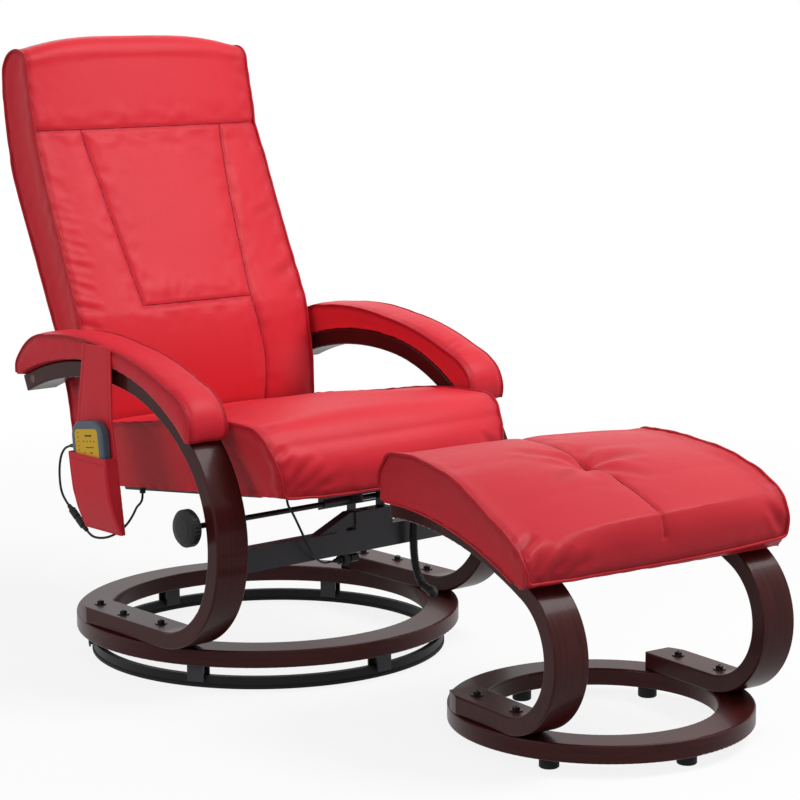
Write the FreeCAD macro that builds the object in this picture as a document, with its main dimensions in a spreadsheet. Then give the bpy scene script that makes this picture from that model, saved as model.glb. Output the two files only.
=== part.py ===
import FreeCAD, Part
import math
import os
import Sketcher
from FreeCAD import Placement, Rotation, Vector

# A reclining massage chair on a turning base, with its footstool.
# Millimetres. +Z is up, the sitter faces -Y, and +X is on the sitter's left.
# The origin is on the floor, in the middle of the chair's round base.
# "Right" and "left" in the names are the sitter's.

SIZES = {
    # Round wooden base, and the steel track that it turns on
    "ring_radius": 330.0,
    "ring_hole": 272.0,
    "ring_underside": 41.5,
    "ring_thick": 28.5,
    "wood_round": 3.0,
    "track_radius": 303.5,
    "track_width": 10.0,
    "track_top": 20.0,
    "edging_high": 5.0,
    "edging_lip": 1.5,
    "bracket_start": 30.0,
    "bracket_wide": 29.0,
    "bracket_sheet": 3.0,
    "bracket_drop": 31.0,
    "bracket_gap": 5.0,
    "glide_long": 11.0,
    "glide_skirt": 8.0,
    "running_gap": 0.3,
    "bracket_screw": 2.0,
    "bracket_screw_head": 4.0,
    "bracket_screw_pitch": 20.0,
    "bracket_screw_deep": 20.0,
    # Bentwood legs that become the arms
    "leg_inner_x": 258.0,
    "bentwood_wide": 61.0,
    "bentwood_thick": 28.0,
    "foot_end": 118.0,
    "foot_start": -127.4,
    "heel_radius": 145.5,
    "heel_sweep": 71.6,
    "front_radius": 218.8,
    "front_sweep": 66.5,
    "shoulder_radius": 334.1,
    "shoulder_sweep": 33.7,
    "arm_radius": 518.2,
    "arm_sweep": 32.0,
    "foot_bolt_x": 288.0,
    "foot_bolt_mid_x": 298.5,
    "foot_bolt_rear": 87.5,
    "foot_bolt_mid": 4.0,
    "foot_bolt_front": -89.0,
    "foot_bolt": 4.0,
    "foot_bolt_head": 6.0,
    "foot_bolt_head_high": 5.0,
    "foot_bolt_into_ring": 20.0,
    "washer_radius": 10.0,
    "washer_thick": 1.5,
    "bolt_clearance": 0.3,
    # Arm pads
    "pad_inner_x": 258.0,
    "pad_outer_x": 332.0,
    # Front cross beam with the clamp for the seat
    "beam_front": -255.0,
    "beam_deep": 25.0,
    "beam_bottom": 202.0,
    "beam_high": 38.0,
    "beam_wall": 2.0,
    "beam_half": 254.0,
    "flange_thick": 4.0,
    "flange_end_x": 312.0,
    "flange_low": 100.0,
    "flange_high": 85.0,
    "flange_screw": 3.0,
    "flange_screw_head": 5.5,
    "flange_screw_z": 222.0,
    "flange_screw_x": 278.0,
    "flange_screw_pitch": 22.0,
    "riser_low_x": -11.0,
    "riser_high_x": 68.0,
    "riser_top": 269.0,
    "ear_thick": 3.0,
    "ear_low_x": -10.0,
    "ear_high_x": 55.0,
    "ear_rear": -230.0,
    "ear_top": 299.0,
    "strut_reach": 76.0,
    "strut_wide": 18.0,
    # Clamp rod, knob and nut
    "clamp_y": -236.0,
    "clamp_z": 287.0,
    "rod_radius": 4.5,
    "rod_end_x": 72.0,
    "pivot_gap": 0.05,
    "sleeve_radius": 7.0,
    "sleeve_long": 56.0,
    "knob_radius": 30.0,
    "knob_face_x": -346.0,
    "knob_rim": 18.0,
    "knob_hub": 10.0,
    "knob_hub_long": 6.0,
    "knob_grip": 1.8,
    "knob_grips": 30,
    "nut_flats": 17.0,
    "nut_long": 11.0,
    "nut_gap": 0.3,
    # Recline pivot and the hinge between backrest and seat
    "pivot_from_end": 28.0,
    "pivot_bolt": 5.0,
    "pivot_recess": 7.2,
    "pivot_recess_deep": 10.0,
    "pivot_head": 7.0,
    "pivot_head_high": 6.0,
    "cap_thick": 2.5,
    "bush_radius": 7.5,
    "hinge_y": 222.0,
    "hinge_z": 338.0,
    "hinge_pin": 5.0,
    "hinge_play": 3.4,
    "recline_angle": 24.0,
    "side_plate_x": 175.0,
    "side_plate_thick": 5.0,
    "side_plate_half": 9.0,
    "side_plate_top": 850.0,
    "lug_radius": 13.0,
    # Seat
    "seat_rear": 158.0,
    "seat_front": -338.0,
    "seat_rear_bottom": 279.0,
    "seat_front_bottom": 334.0,
    "seat_half": 246.0,
    "seat_taper": 0.24,
    "seat_taper_z": 420.0,
    "seat_board_half": 195.0,
    "seat_board_thick": 10.0,
    "seat_board_inset": 20.0,
    "seat_motor_x": 90.0,
    "seat_motor_from_front": 280.0,
    "motor_radius": 27.0,
    "motor_long": 23.0,
    "rail_x": 168.0,
    "rail_thick": 5.0,
    "rail_half": 5.5,
    "rail_boss": 10.0,
    "rail_front": -210.0,
    "rail_corner": 172.0,
    "channel_sheet": 3.0,
    "channel_front": -264.0,
    "channel_rear": -150.0,
    "slot_edge": 3.3,
    "box_low_x": 62.0,
    "box_wide": 92.0,
    "box_from_front": 130.0,
    "box_long": 110.0,
    "box_high": 24.0,
    "gland_radius": 6.0,
    "gland_long": 8.0,
    "soft_gap": 0.3,
    # Backrest
    "back_half": 248.5,
    "back_taper": 0.0178,
    "back_taper_z": 352.0,
    "back_bottom": 354.0,
    "board_low": 12.0,
    "board_long": 280.0,
    "board_half": 165.0,
    "board_thick": 6.0,
    "bar_thick": 4.0,
    "bar_high": 25.0,
    "low_bar_at": 22.0,
    "high_bar_at": 262.0,
    "lumbar_motor_x": 112.0,
    "lumbar_motor_at": 62.0,
    "upper_motor_x": 85.0,
    "upper_motor_at": 235.0,
    "back_motor_long": 21.0,
    "heater_half": 74.0,
    "heater_at": 12.0,
    "heater_long": 110.0,
    "heater_thick": 4.0,
    # Remote control and its strap
    "strap_thick": 3.0,
    "pocket_wall": 2.5,
    "pocket_deep": 19.5,
    "pocket_foot_deep": 4.0,
    "pocket_taper_z": 294.0,
    "pocket_round": 4.0,
    "remote_wide": 90.0,
    "remote_long": 130.0,
    "remote_thick": 17.0,
    "remote_corner": 26.0,
    "remote_edge": 4.5,
    "remote_wall": 2.2,
    "remote_tilt": 7.0,
    "remote_top_y": 21.0,
    "remote_top_z": 426.0,
    "relief_up": 23.5,
    "relief_long": 16.0,
    "label_wide": 67.0,
    "label_long": 104.0,
    "label_thick": 1.0,
    "key_wide": 14.0,
    "key_long": 8.0,
    "key_proud": 0.7,
    "key_travel": 0.6,
    "key_column": 22.0,
    "key_row": 16.0,
    "key_first": -18.0,
    # Leads
    "lead_radius": 2.0,
    "conduit_radius": 7.2,
    "conduit_valley": 5.9,
    "conduit_bore": 4.8,
    "rib_pitch": 3.4,
    # Footstool
    "stool_x": 54.8,
    "stool_y": -754.5,
    "stool_turn": -7.0,
    "stool_ring_radius": 233.4,
    "stool_ring_hole": 176.6,
    "stool_foot_high": 19.0,
    "stool_foot_radius": 15.0,
    "stool_foot_circle": 201.0,
    "stool_foot_angle": 60.0,
    "stool_ring_thick": 28.0,
    "stool_leg_inner_x": 164.0,
    "stool_foot_end": 96.0,
    "stool_foot_start": -58.0,
    "stool_heel_radius": 109.0,
    "stool_heel_sweep": 100.0,
    "stool_knee_radius": 107.0,
    "stool_knee_sweep": 54.5,
    "stool_top_radius": 668.0,
    "stool_top_sweep": 30.3,
    "stool_bolt_rear": 50.0,
    "stool_bolt_front": -48.0,
    "stool_half": 245.0,
    "stool_board_half": 226.0,
    "stool_board_thick": 8.0,
    "stool_board_front": 6.0,
    "stool_board_rear": 4.0,
    "tuft_x": -8.0,
    "tuft_y": 34.0,
    "tuft_sphere": 90.0,
    "tuft_top": 417.0,
    "tuft_deep": 17.0,
}

doc = FreeCAD.newDocument("massage_chair")
sheet = doc.addObject("Spreadsheet::Sheet", "sizes")
for row, (alias, number) in enumerate(SIZES.items(), start=1):
    sheet.set("A%d" % row, alias)
    sheet.set("B%d" % row, repr(number))
    sheet.setAlias("B%d" % row, alias)
doc.recompute()

NODES = []


def size(alias):
    """The value of one cell of the sheet."""
    return float(sheet.get(alias))


def value(expression):
    """The number that an expression over the sheet gives."""
    result = sheet.evalExpression(expression)
    return float(getattr(result, "Value", result))


def yz(y, z, x=0.0):
    """A point given by its place in the side view."""
    return Vector(x, y, z)


def node(item, label):
    """Register a finished sub-part under its name."""
    item.Label = label
    NODES.append(item)
    return item


def feature(label, shape, placement=None):
    """A sub-part whose shape is made directly, kept where it is or moved by a placement."""
    item = doc.addObject("Part::Feature", label)
    item.Shape = shape
    item.Placement = (placement or Placement()).multiply(shape.Placement)
    return node(item, label)


def bound(kind, name, place=(0, 0, 0), turn=None, **expressions):
    """A primitive whose sizes follow the sheet."""
    item = doc.addObject("Part::" + kind, name)
    for prop, expression in expressions.items():
        item.setExpression(prop, expression)
    item.Placement = Placement(Vector(*place), turn or Rotation())
    return item


def cut(base, tools, name):
    """One object less some others."""
    result = doc.addObject("Part::Cut", name)
    result.Base = base
    if len(tools) == 1:
        result.Tool = tools[0]
    else:
        group = doc.addObject("Part::Compound", name + "_tools")
        group.Links = tools
        result.Tool = group
    return result


def fuse(items, name):
    """Several objects made one."""
    result = doc.addObject("Part::MultiFuse", name)
    result.Shapes = items
    return result


def copies(label, source, places, base=None):
    """Separate solids of one shape, set at each place."""
    doc.recompute()
    solids = [source.Shape.transformed(place.toMatrix()) for place in places]
    return feature(label, Part.makeCompound(solids), base)


def origin_plane(body, role):
    """One of a body's own origin planes."""
    return next(plane for plane in body.Origin.OriginFeatures if plane.Role == role)


def new_sketch(body, role, name):
    """A sketch on one of a body's own origin planes."""
    sketch = body.newObject("Sketcher::SketchObject", name)
    sketch.AttachmentSupport = (origin_plane(body, role), [""])
    sketch.MapMode = "FlatFace"
    return sketch


def pin_outline(sketch, corners):
    """A closed outline whose corners are held by expressions of the sheet."""
    points = [Vector(value(across), value(up), 0) for across, up in corners]
    count = len(points)
    for i in range(count):
        sketch.addGeometry(Part.LineSegment(points[i], points[(i + 1) % count]), False)
    for i in range(count):
        sketch.addConstraint(Sketcher.Constraint("Coincident", i, 2, (i + 1) % count, 1))
    for i, pair in enumerate(corners):
        for kind, expression, axis in (("DistanceX", pair[0], -2), ("DistanceY", pair[1], -1)):
            distance = value(expression)
            if abs(distance) < 1e-9:
                sketch.addConstraint(Sketcher.Constraint("PointOnObject", i, 1, axis))
                continue
            index = sketch.addConstraint(Sketcher.Constraint(kind, -1, 1, i, 1, distance))
            sketch.setExpression("Constraints[%d]" % index, expression)


def turned_body(name, corners):
    """A body turned about its own Z axis from a half outline."""
    body = doc.addObject("PartDesign::Body", name)
    outline = new_sketch(body, "XZ_Plane", name + "_outline")
    pin_outline(outline, corners)
    turn = body.newObject("PartDesign::Revolution", name + "_turn")
    turn.Profile = outline
    turn.ReferenceAxis = (outline, ["V_Axis"])
    turn.Angle = 360
    return body, turn


def round_edges(body, base, radius, wanted):
    """Round the edges of a body's feature that a test picks."""
    doc.recompute()
    edges = ["Edge%d" % (i + 1) for i, edge in enumerate(base.Shape.Edges) if wanted(edge)]
    rounding = body.newObject("PartDesign::Fillet", "rounding")
    rounding.Base = (base, edges)
    rounding.setExpression("Radius", radius)
    return rounding


def is_circle(edge):
    return isinstance(edge.Curve, Part.Circle)


def ring_body(name, outer, inner, low, high, round_radius=None):
    """A flat ring from four expressions."""
    corners = [(inner, low), (outer, low), (outer, high), (inner, high)]
    body, turn = turned_body(name, corners)
    if round_radius:
        round_edges(body, turn, round_radius, is_circle)
    return body


# Paths in the side view, such as the bentwood legs and bent plates.
# A heading is the angle of travel from +Y towards +Z. The arcs turn clockwise.


def unit(heading):
    return math.cos(math.radians(heading)), math.sin(math.radians(heading))


def arc_path(start, arcs):
    """Tangent arcs from a start point, each a (radius, sweep), heading towards -Y at first."""
    heading = 180.0
    y, z = start
    pieces = []
    for radius, sweep in arcs:
        across, up = unit(heading - 90.0)
        centre = (y + radius * across, z + radius * up)
        pieces.append((centre, radius, heading, heading - sweep))
        heading -= sweep
        across, up = unit(heading + 90.0)
        y, z = centre[0] + radius * across, centre[1] + radius * up
    return pieces


def on_arc(piece, heading, offset=0.0):
    """The point of an arc where it has a heading, moved outwards by an offset."""
    centre, radius = piece[0], piece[1]
    across, up = unit(heading + 90.0)
    return centre[0] + (radius + offset) * across, centre[1] + (radius + offset) * up


def arc_edge(piece, offset, x=0.0):
    first, last = piece[2], piece[3]
    points = [yz(*on_arc(piece, heading, offset), x) for heading in (first, (first + last) / 2, last)]
    return Part.Arc(*points).toShape()


def line_edge(a, b):
    return Part.LineSegment(a, b).toShape()


def prism(edges, low_x, high_x):
    """A closed outline in the side view, drawn out from one X to another."""
    wire = Part.Wire(Part.__sortEdges__(edges))
    shape = Part.Face(wire).extrude(Vector(high_x - low_x, 0, 0))
    shape.translate(Vector(low_x, 0, 0))
    return shape


def polygon(points, low_x, high_x):
    corners = [yz(*point) for point in points]
    edges = [line_edge(corners[i - 1], corners[i]) for i in range(len(corners))]
    return prism(edges, low_x, high_x)


def bent_strip(pieces, inner, outer, low_x, high_x, foot_end=None):
    """A strip between two offsets of a path, with a straight foot before it if asked."""
    edges = []
    if foot_end is not None:
        for offset in (inner, outer):
            y, z = on_arc(pieces[0], pieces[0][2], offset)
            edges.append(line_edge(yz(foot_end, z), yz(y, z)))
        edges.append(line_edge(yz(foot_end, on_arc(pieces[0], 180.0, inner)[1]),
                               yz(foot_end, on_arc(pieces[0], 180.0, outer)[1])))
    else:
        first = pieces[0]
        edges.append(line_edge(yz(*on_arc(first, first[2], inner)), yz(*on_arc(first, first[2], outer))))
    for piece in pieces:
        edges.append(arc_edge(piece, inner))
        edges.append(arc_edge(piece, outer))
    last = pieces[-1]
    edges.append(line_edge(yz(*on_arc(last, last[3], inner)), yz(*on_arc(last, last[3], outer))))
    return prism(edges, low_x, high_x)


def line_strip(points, half, low_x, high_x):
    """A flat bar along straight runs, mitred where they meet."""
    left, right = [], []
    count = len(points)
    for i, (y, z) in enumerate(points):
        normals = []
        for a, b in ((i - 1, i), (i, i + 1)):
            if a < 0 or b >= count:
                continue
            dy, dz = points[b][0] - points[a][0], points[b][1] - points[a][1]
            length = math.hypot(dy, dz)
            normals.append((-dz / length, dy / length))
        ny = sum(n[0] for n in normals) / len(normals)
        nz = sum(n[1] for n in normals) / len(normals)
        stretch = half / (ny * ny + nz * nz)
        left.append((y + ny * stretch, z + nz * stretch))
        right.append((y - ny * stretch, z - nz * stretch))
    return polygon(left + right[::-1], low_x, high_x)


def x_cylinder(radius, y, z, low_x, high_x):
    return Part.makeCylinder(radius, high_x - low_x, Vector(low_x, y, z), Vector(1, 0, 0))


def mirrored(shape):
    """The same shape on the other side of the chair."""
    return shape.mirror(Vector(0, 0, 0), Vector(1, 0, 0))


def long_edges(shape, low_x, high_x):
    """The edges of a strip that lie in its two side faces."""
    picked = []
    for edge in shape.Edges:
        box = edge.BoundBox
        flat = box.XLength < 1e-6
        if flat and (abs(box.XMin - low_x) < 1e-6 or abs(box.XMin - high_x) < 1e-6):
            picked.append(edge)
    return picked


def crowned(knots, centre_x, half_at, shares, fullness):
    """An upholstered solid, lofted across its width.

    The knots go round the side seam as (y, z, dy, dz): every second one is
    the middle of an arc, or None for a straight edge. The last two numbers
    move the knot at the middle of the width.
    """
    sections = []
    for share in shares:
        swell = 1.0 - abs(share) ** fullness
        points = []
        for knot in knots:
            if knot is None:
                points.append(None)
                continue
            y, z, dy, dz = knot
            x = centre_x + share * half_at(z + dz * swell)
            points.append(yz(y + dy * swell, z + dz * swell, x))
        edges = []
        for i in range(0, len(points), 2):
            start, middle, end = points[i], points[i + 1], points[(i + 2) % len(points)]
            if middle is None:
                edges.append(line_edge(start, end))
            else:
                edges.append(Part.Arc(start, middle, end).toShape())
        sections.append(Part.Wire(edges))
    return Part.makeLoft(sections, True, False)


SHARES = (-1.0, -0.86, -0.55, 0.0, 0.55, 0.86, 1.0)


# Steel track on the floor, with its rubber edging

ring_low = size("ring_underside")
ring_top = ring_low + size("ring_thick")

track = ring_body("floor_ring", "sizes.track_radius", "sizes.track_radius - sizes.track_width",
                  "sizes.edging_high", "sizes.track_top")
node(track, "floor_ring")

edging = ring_body("floor_ring_edging", "sizes.track_radius + sizes.edging_lip",
                   "sizes.track_radius - sizes.track_width - sizes.edging_lip", "0", "sizes.edging_high")
node(edging, "floor_ring_edging")

# Wooden base ring, drilled for its brackets and the feet of the legs

track_middle = size("track_radius") - size("track_width") / 2
bracket_places = [Placement(Vector(), Rotation(Vector(0, 0, 1), size("bracket_start") + 60.0 * i))
                  for i in range(6)]
foot_bolt_spots = []
for side in (-1, 1):
    foot_bolt_spots.append(Vector(side * size("foot_bolt_x"), size("foot_bolt_rear"), 0))
    foot_bolt_spots.append(Vector(side * size("foot_bolt_mid_x"), size("foot_bolt_mid"), 0))
    foot_bolt_spots.append(Vector(side * size("foot_bolt_x"), size("foot_bolt_front"), 0))

ring_blank = ring_body("base_ring_blank", "sizes.ring_radius", "sizes.ring_hole", "sizes.ring_underside",
                       "sizes.ring_underside + sizes.ring_thick", "sizes.wood_round")

bracket_screw_spots = []
for place in bracket_places:
    for side in (-1, 1):
        spot = Vector(track_middle, side * size("bracket_screw_pitch") / 2, 0)
        bracket_screw_spots.append(place.multVec(spot))

ring_holes = []
bolt_hole = bound("Cylinder", "foot_bolt_hole", Radius="sizes.foot_bolt + sizes.bolt_clearance",
                  Height="sizes.foot_bolt_into_ring + 3")
screw_hole = bound("Cylinder", "bracket_screw_hole", Radius="sizes.bracket_screw + 0.2",
                   Height="sizes.bracket_screw_deep + 2")
doc.recompute()
ring_drill = []
for spot in foot_bolt_spots:
    hole = bolt_hole.Shape.copy()
    hole.translate(spot + Vector(0, 0, ring_top - size("foot_bolt_into_ring") - 1))
    ring_drill.append(hole)
for spot in bracket_screw_spots:
    hole = screw_hole.Shape.copy()
    hole.translate(spot + Vector(0, 0, ring_low - 1))
    ring_drill.append(hole)
drill = doc.addObject("Part::Feature", "base_ring_drill")
drill.Shape = Part.makeCompound(ring_drill)
node(cut(ring_blank, [drill], "base_ring"), "base_ring")

# Six steel channels under the ring that straddle the track

sheet_thick = size("bracket_sheet")
channel_half = size("track_width") / 2 + size("bracket_gap")
outer_block = bound("Box", "bracket_block",
                    (track_middle - channel_half - sheet_thick, -size("bracket_wide") / 2,
                     ring_low - size("bracket_drop")),
                    Length="sizes.track_width + 2 * sizes.bracket_gap + 2 * sizes.bracket_sheet",
                    Width="sizes.bracket_wide", Height="sizes.bracket_drop")
inner_block = bound("Box", "bracket_room",
                    (track_middle - channel_half, -size("bracket_wide") / 2 - 1,
                     ring_low - size("bracket_drop") - 1),
                    Length="sizes.track_width + 2 * sizes.bracket_gap", Width="sizes.bracket_wide + 2",
                    Height="sizes.bracket_drop - sizes.bracket_sheet + 1")
bracket_holes = [bound("Cylinder", "bracket_hole", (track_middle, side * size("bracket_screw_pitch") / 2,
                                                    ring_low - sheet_thick - 1),
                       Radius="sizes.bracket_screw + 0.2", Height="sizes.bracket_sheet + 2")
                 for side in (-1, 1)]
bracket = cut(outer_block, [inner_block] + bracket_holes, "bracket")
copies("track_brackets", bracket, bracket_places)

# Nylon glides in the channels that ride on the track

glide_top = ring_low - sheet_thick
glide_low = size("track_top") + size("running_gap")
glide_block = bound("Box", "glide_block",
                    (track_middle - channel_half + 0.2, -size("glide_long") / 2,
                     size("track_top") - size("glide_skirt")),
                    Length="sizes.track_width + 2 * sizes.bracket_gap - 0.4",
                    Width="sizes.glide_long",
                    Height="sizes.ring_underside - sizes.bracket_sheet - sizes.track_top + sizes.glide_skirt")
glide_room = bound("Box", "glide_room",
                   (track_middle - size("track_width") / 2 - 0.8, -size("glide_long") / 2 - 1,
                    size("track_top") - size("glide_skirt") - 1),
                   Length="sizes.track_width + 1.6", Width="sizes.glide_long + 2",
                   Height="sizes.glide_skirt + 1 + sizes.running_gap")
glide = cut(glide_block, [glide_room], "glide")
copies("glide_pads", glide, bracket_places)

# Bentwood legs: a foot on the ring, a C up to the arm, and the recline pivot near its end

half_wood = size("bentwood_thick") / 2
leg_low_x = size("leg_inner_x")
leg_high_x = leg_low_x + size("bentwood_wide")
leg_arcs = arc_path((size("foot_start"), ring_top + half_wood),
                    [(size("heel_radius"), size("heel_sweep")),
                     (size("front_radius"), size("front_sweep")),
                     (size("shoulder_radius"), size("shoulder_sweep")),
                     (size("arm_radius"), size("arm_sweep"))])
arm_arc = leg_arcs[-1]
pivot_heading = arm_arc[3] + math.degrees(size("pivot_from_end") / size("arm_radius"))
pivot_y, pivot_z = on_arc(arm_arc, pivot_heading)

leg = bent_strip(leg_arcs, -half_wood, half_wood, leg_low_x, leg_high_x, size("foot_end"))
leg = leg.makeFillet(size("wood_round"), long_edges(leg, leg_low_x, leg_high_x))
corner = Part.makeBox(leg_high_x + 50, size("foot_end") + 60, size("bentwood_thick") + 20,
                      Vector(0, 0, ring_top - 10))
corner = corner.cut(Part.makeCylinder(size("ring_radius"), size("bentwood_thick") + 40,
                                      Vector(0, 0, ring_top - 20)))
leg = leg.cut(corner)
leg_drill = [x_cylinder(size("pivot_bolt") + 0.2, pivot_y, pivot_z, leg_low_x - 5, leg_high_x + 5),
             x_cylinder(size("pivot_recess"), pivot_y, pivot_z, leg_high_x - size("pivot_recess_deep"),
                        leg_high_x + 5)]
for spot in foot_bolt_spots[3:]:
    leg_drill.append(Part.makeCylinder(size("foot_bolt") + size("bolt_clearance"),
                                       size("bentwood_thick") + 10, spot + Vector(0, 0, ring_top - 5)))


def concave_y(z):
    """Where the inside of the leg's front bend is, at a height."""
    piece = leg_arcs[1]
    radius = piece[1] - half_wood
    return piece[0][0] - math.sqrt(radius ** 2 - (z - piece[0][1]) ** 2)


flange_screw_y = concave_y(size("flange_screw_z"))
flange_screw_xs = [size("flange_screw_x") + i * size("flange_screw_pitch") for i in range(2)]
for x in flange_screw_xs:
    leg_drill.append(Part.makeCylinder(size("flange_screw") + 0.2, 40,
                                       Vector(x, flange_screw_y + 18, size("flange_screw_z")),
                                       Vector(0, -1, 0)))
leg = leg.cut(Part.makeCompound(leg_drill))
feature("arm_leg_left", leg)
feature("arm_leg_right", mirrored(leg))

# Bolts with washers that hold the feet to the ring

bolt_under_head = ring_top + size("bentwood_thick") + size("washer_thick")
bolt_body, bolt_turn = turned_body("foot_bolt", [
    ("0", "-(sizes.bentwood_thick + sizes.washer_thick + sizes.foot_bolt_into_ring - 1)"),
    ("sizes.foot_bolt", "-(sizes.bentwood_thick + sizes.washer_thick + sizes.foot_bolt_into_ring - 1)"),
    ("sizes.foot_bolt", "0"),
    ("sizes.foot_bolt_head", "0"),
    ("sizes.foot_bolt_head", "sizes.foot_bolt_head_high - 1.5"),
    ("sizes.foot_bolt_head - 1.5", "sizes.foot_bolt_head_high"),
    ("2.6", "sizes.foot_bolt_head_high"),
    ("2.6", "sizes.foot_bolt_head_high - 2.5"),
    ("0", "sizes.foot_bolt_head_high - 2.5")])
washer_body = ring_body("bolt_washer", "sizes.washer_radius", "sizes.foot_bolt + sizes.bolt_clearance",
                        "-sizes.washer_thick", "0")
doc.recompute()
bolt_and_washer = Part.makeCompound([bolt_body.Shape, washer_body.Shape])
foot_bolt_solids = []
for spot in foot_bolt_spots:
    pair = bolt_and_washer.copy()
    pair.translate(spot + Vector(0, 0, bolt_under_head))
    foot_bolt_solids.append(pair)
feature("foot_bolts", Part.makeCompound(foot_bolt_solids))

# Screws of the brackets and of the beam's flanges

bracket_screw_body, bracket_screw_turn = turned_body("bracket_screw", [
    ("0", "0"), ("sizes.bracket_screw_head", "0"), ("sizes.bracket_screw_head", "2"),
    ("sizes.bracket_screw", "2"), ("sizes.bracket_screw", "sizes.bracket_screw_deep"),
    ("0", "sizes.bracket_screw_deep")])
flange_screw_body, flange_screw_turn = turned_body("flange_screw_part", [
    ("0", "-4"), ("sizes.flange_screw_head", "-4"), ("sizes.flange_screw_head", "0"),
    ("sizes.flange_screw", "0"), ("sizes.flange_screw", "24"), ("0", "24")])
doc.recompute()
screw_solids = []
for spot in bracket_screw_spots:
    solid = bracket_screw_body.Shape.copy()
    solid.translate(spot + Vector(0, 0, ring_low - sheet_thick - 2))
    screw_solids.append(solid)
screw_seat_y = flange_screw_y + size("flange_thick") + size("running_gap") + 1.0
for side in (-1, 1):
    for x in flange_screw_xs:
        solid = flange_screw_body.Shape.copy()
        solid.rotate(Vector(), Vector(1, 0, 0), 90)
        solid.translate(Vector(side * x, screw_seat_y, size("flange_screw_z")))
        screw_solids.append(solid)
feature("frame_screws", Part.makeCompound(screw_solids))

# Cross beam: a square tube with bent end flanges on the legs' inner curves

beam_rear = size("beam_front") + size("beam_deep")
tube = bound("Box", "beam_tube", (-size("beam_half"), size("beam_front"), size("beam_bottom")),
             Length="2 * sizes.beam_half", Width="sizes.beam_deep", Height="sizes.beam_high")
bore = bound("Box", "beam_bore", (-size("beam_half") - 1, size("beam_front") + size("beam_wall"),
                                  size("beam_bottom") + size("beam_wall")),
             Length="2 * sizes.beam_half + 2", Width="sizes.beam_deep - 2 * sizes.beam_wall",
             Height="sizes.beam_high - 2 * sizes.beam_wall")
beam_blank = cut(tube, [bore], "beam_blank")
front_arc = leg_arcs[1]
flange_arc = (front_arc[0], front_arc[1], size("flange_low"), size("flange_high"))
plate_inner = -half_wood - size("running_gap") - size("flange_thick")
plate_outer = -half_wood - size("running_gap")
wing = bent_strip([flange_arc], plate_inner, plate_outer, size("beam_half"), size("flange_end_x"))
end_plate = Part.makeBox(leg_low_x - size("running_gap") - size("beam_half"), size("beam_deep") + 4,
                         size("beam_high"), Vector(size("beam_half"), beam_rear - size("beam_deep") - 4,
                                                   size("beam_bottom")))
flange = wing.fuse(end_plate).removeSplitter()
for x in flange_screw_xs:
    flange = flange.cut(Part.makeCylinder(size("flange_screw") + 0.2, 40,
                                          Vector(x, flange_screw_y + 20, size("flange_screw_z")),
                                          Vector(0, -1, 0)))
    flange = flange.cut(Part.makeCylinder(size("flange_screw_head") + 0.3, 20,
                                          Vector(x, screw_seat_y, size("flange_screw_z")),
                                          Vector(0, 1, 0)))
doc.recompute()
beam_shape = beam_blank.Shape.fuse([flange, mirrored(flange)]).removeSplitter()
feature("cross_beam", beam_shape)

# Clamp bracket on the beam: a riser, two ears and a slanting strut

riser = bound("Box", "riser", (size("riser_low_x"), size("beam_front"), size("beam_bottom") + size("beam_high")),
              Length="sizes.riser_high_x - sizes.riser_low_x", Width="sizes.beam_deep",
              Height="sizes.riser_top - sizes.beam_bottom - sizes.beam_high")
riser_room = bound("Box", "riser_room", (size("riser_low_x") + size("beam_wall"),
                                         size("beam_front") + size("beam_wall"),
                                         size("beam_bottom") + size("beam_high") - 1),
                   Length="sizes.riser_high_x - sizes.riser_low_x - 2 * sizes.beam_wall",
                   Width="sizes.beam_deep - 2 * sizes.beam_wall",
                   Height="sizes.riser_top - sizes.beam_bottom - sizes.beam_high - sizes.beam_wall + 1")
riser_shell = cut(riser, [riser_room], "riser_shell")
ears = []
for ear_x in (size("ear_low_x"), size("ear_high_x") - size("ear_thick")):
    plate = bound("Box", "ear", (ear_x, size("ear_rear") - 20, size("riser_top")),
                  Length="sizes.ear_thick", Width="20", Height="sizes.ear_top - sizes.riser_top")
    hole = bound("Cylinder", "ear_hole", (ear_x - 1, size("clamp_y"), size("clamp_z")),
                 Rotation(Vector(0, 1, 0), 90), Radius="sizes.rod_radius + 0.3", Height="sizes.ear_thick + 2")
    ears.append(cut(plate, [hole], "ear_drilled"))
doc.recompute()
beam_top = size("beam_bottom") + size("beam_high")
strut_low_x = size("riser_low_x") - size("strut_reach")
strut_points = [(size("riser_low_x"), size("riser_top")), (size("riser_low_x") - 10, size("riser_top")),
                (strut_low_x, beam_top), (strut_low_x + 2 * size("strut_wide"), beam_top),
                (size("riser_low_x"), size("riser_top") - 1.2 * size("strut_wide"))]
strut_face = Part.Face(Part.makePolygon([Vector(x, size("beam_front") + 3, z)
                                         for x, z in strut_points + strut_points[:1]]))
strut = strut_face.extrude(Vector(0, size("beam_deep") - 6, 0))
clamp_shape = riser_shell.Shape.fuse([ear.Shape for ear in ears] + [strut]).removeSplitter()
feature("clamp_bracket", clamp_shape)

# Sleeve welded to the ear, which carries the clamp rod

sleeve_tube = bound("Cylinder", "sleeve_tube",
                    (size("ear_low_x") - size("sleeve_long"), size("clamp_y"), size("clamp_z")),
                    Rotation(Vector(0, 1, 0), 90), Radius="sizes.sleeve_radius", Height="sizes.sleeve_long")
sleeve_bore = bound("Cylinder", "sleeve_bore",
                    (size("ear_low_x") - size("sleeve_long") - 1, size("clamp_y"), size("clamp_z")),
                    Rotation(Vector(0, 1, 0), 90), Radius="sizes.rod_radius + sizes.pivot_gap",
                    Height="sizes.sleeve_long + 2")
node(cut(sleeve_tube, [sleeve_bore], "clamp_sleeve"), "clamp_sleeve")

# Recline pivot bolts in the arms, with wood-coloured caps

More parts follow.
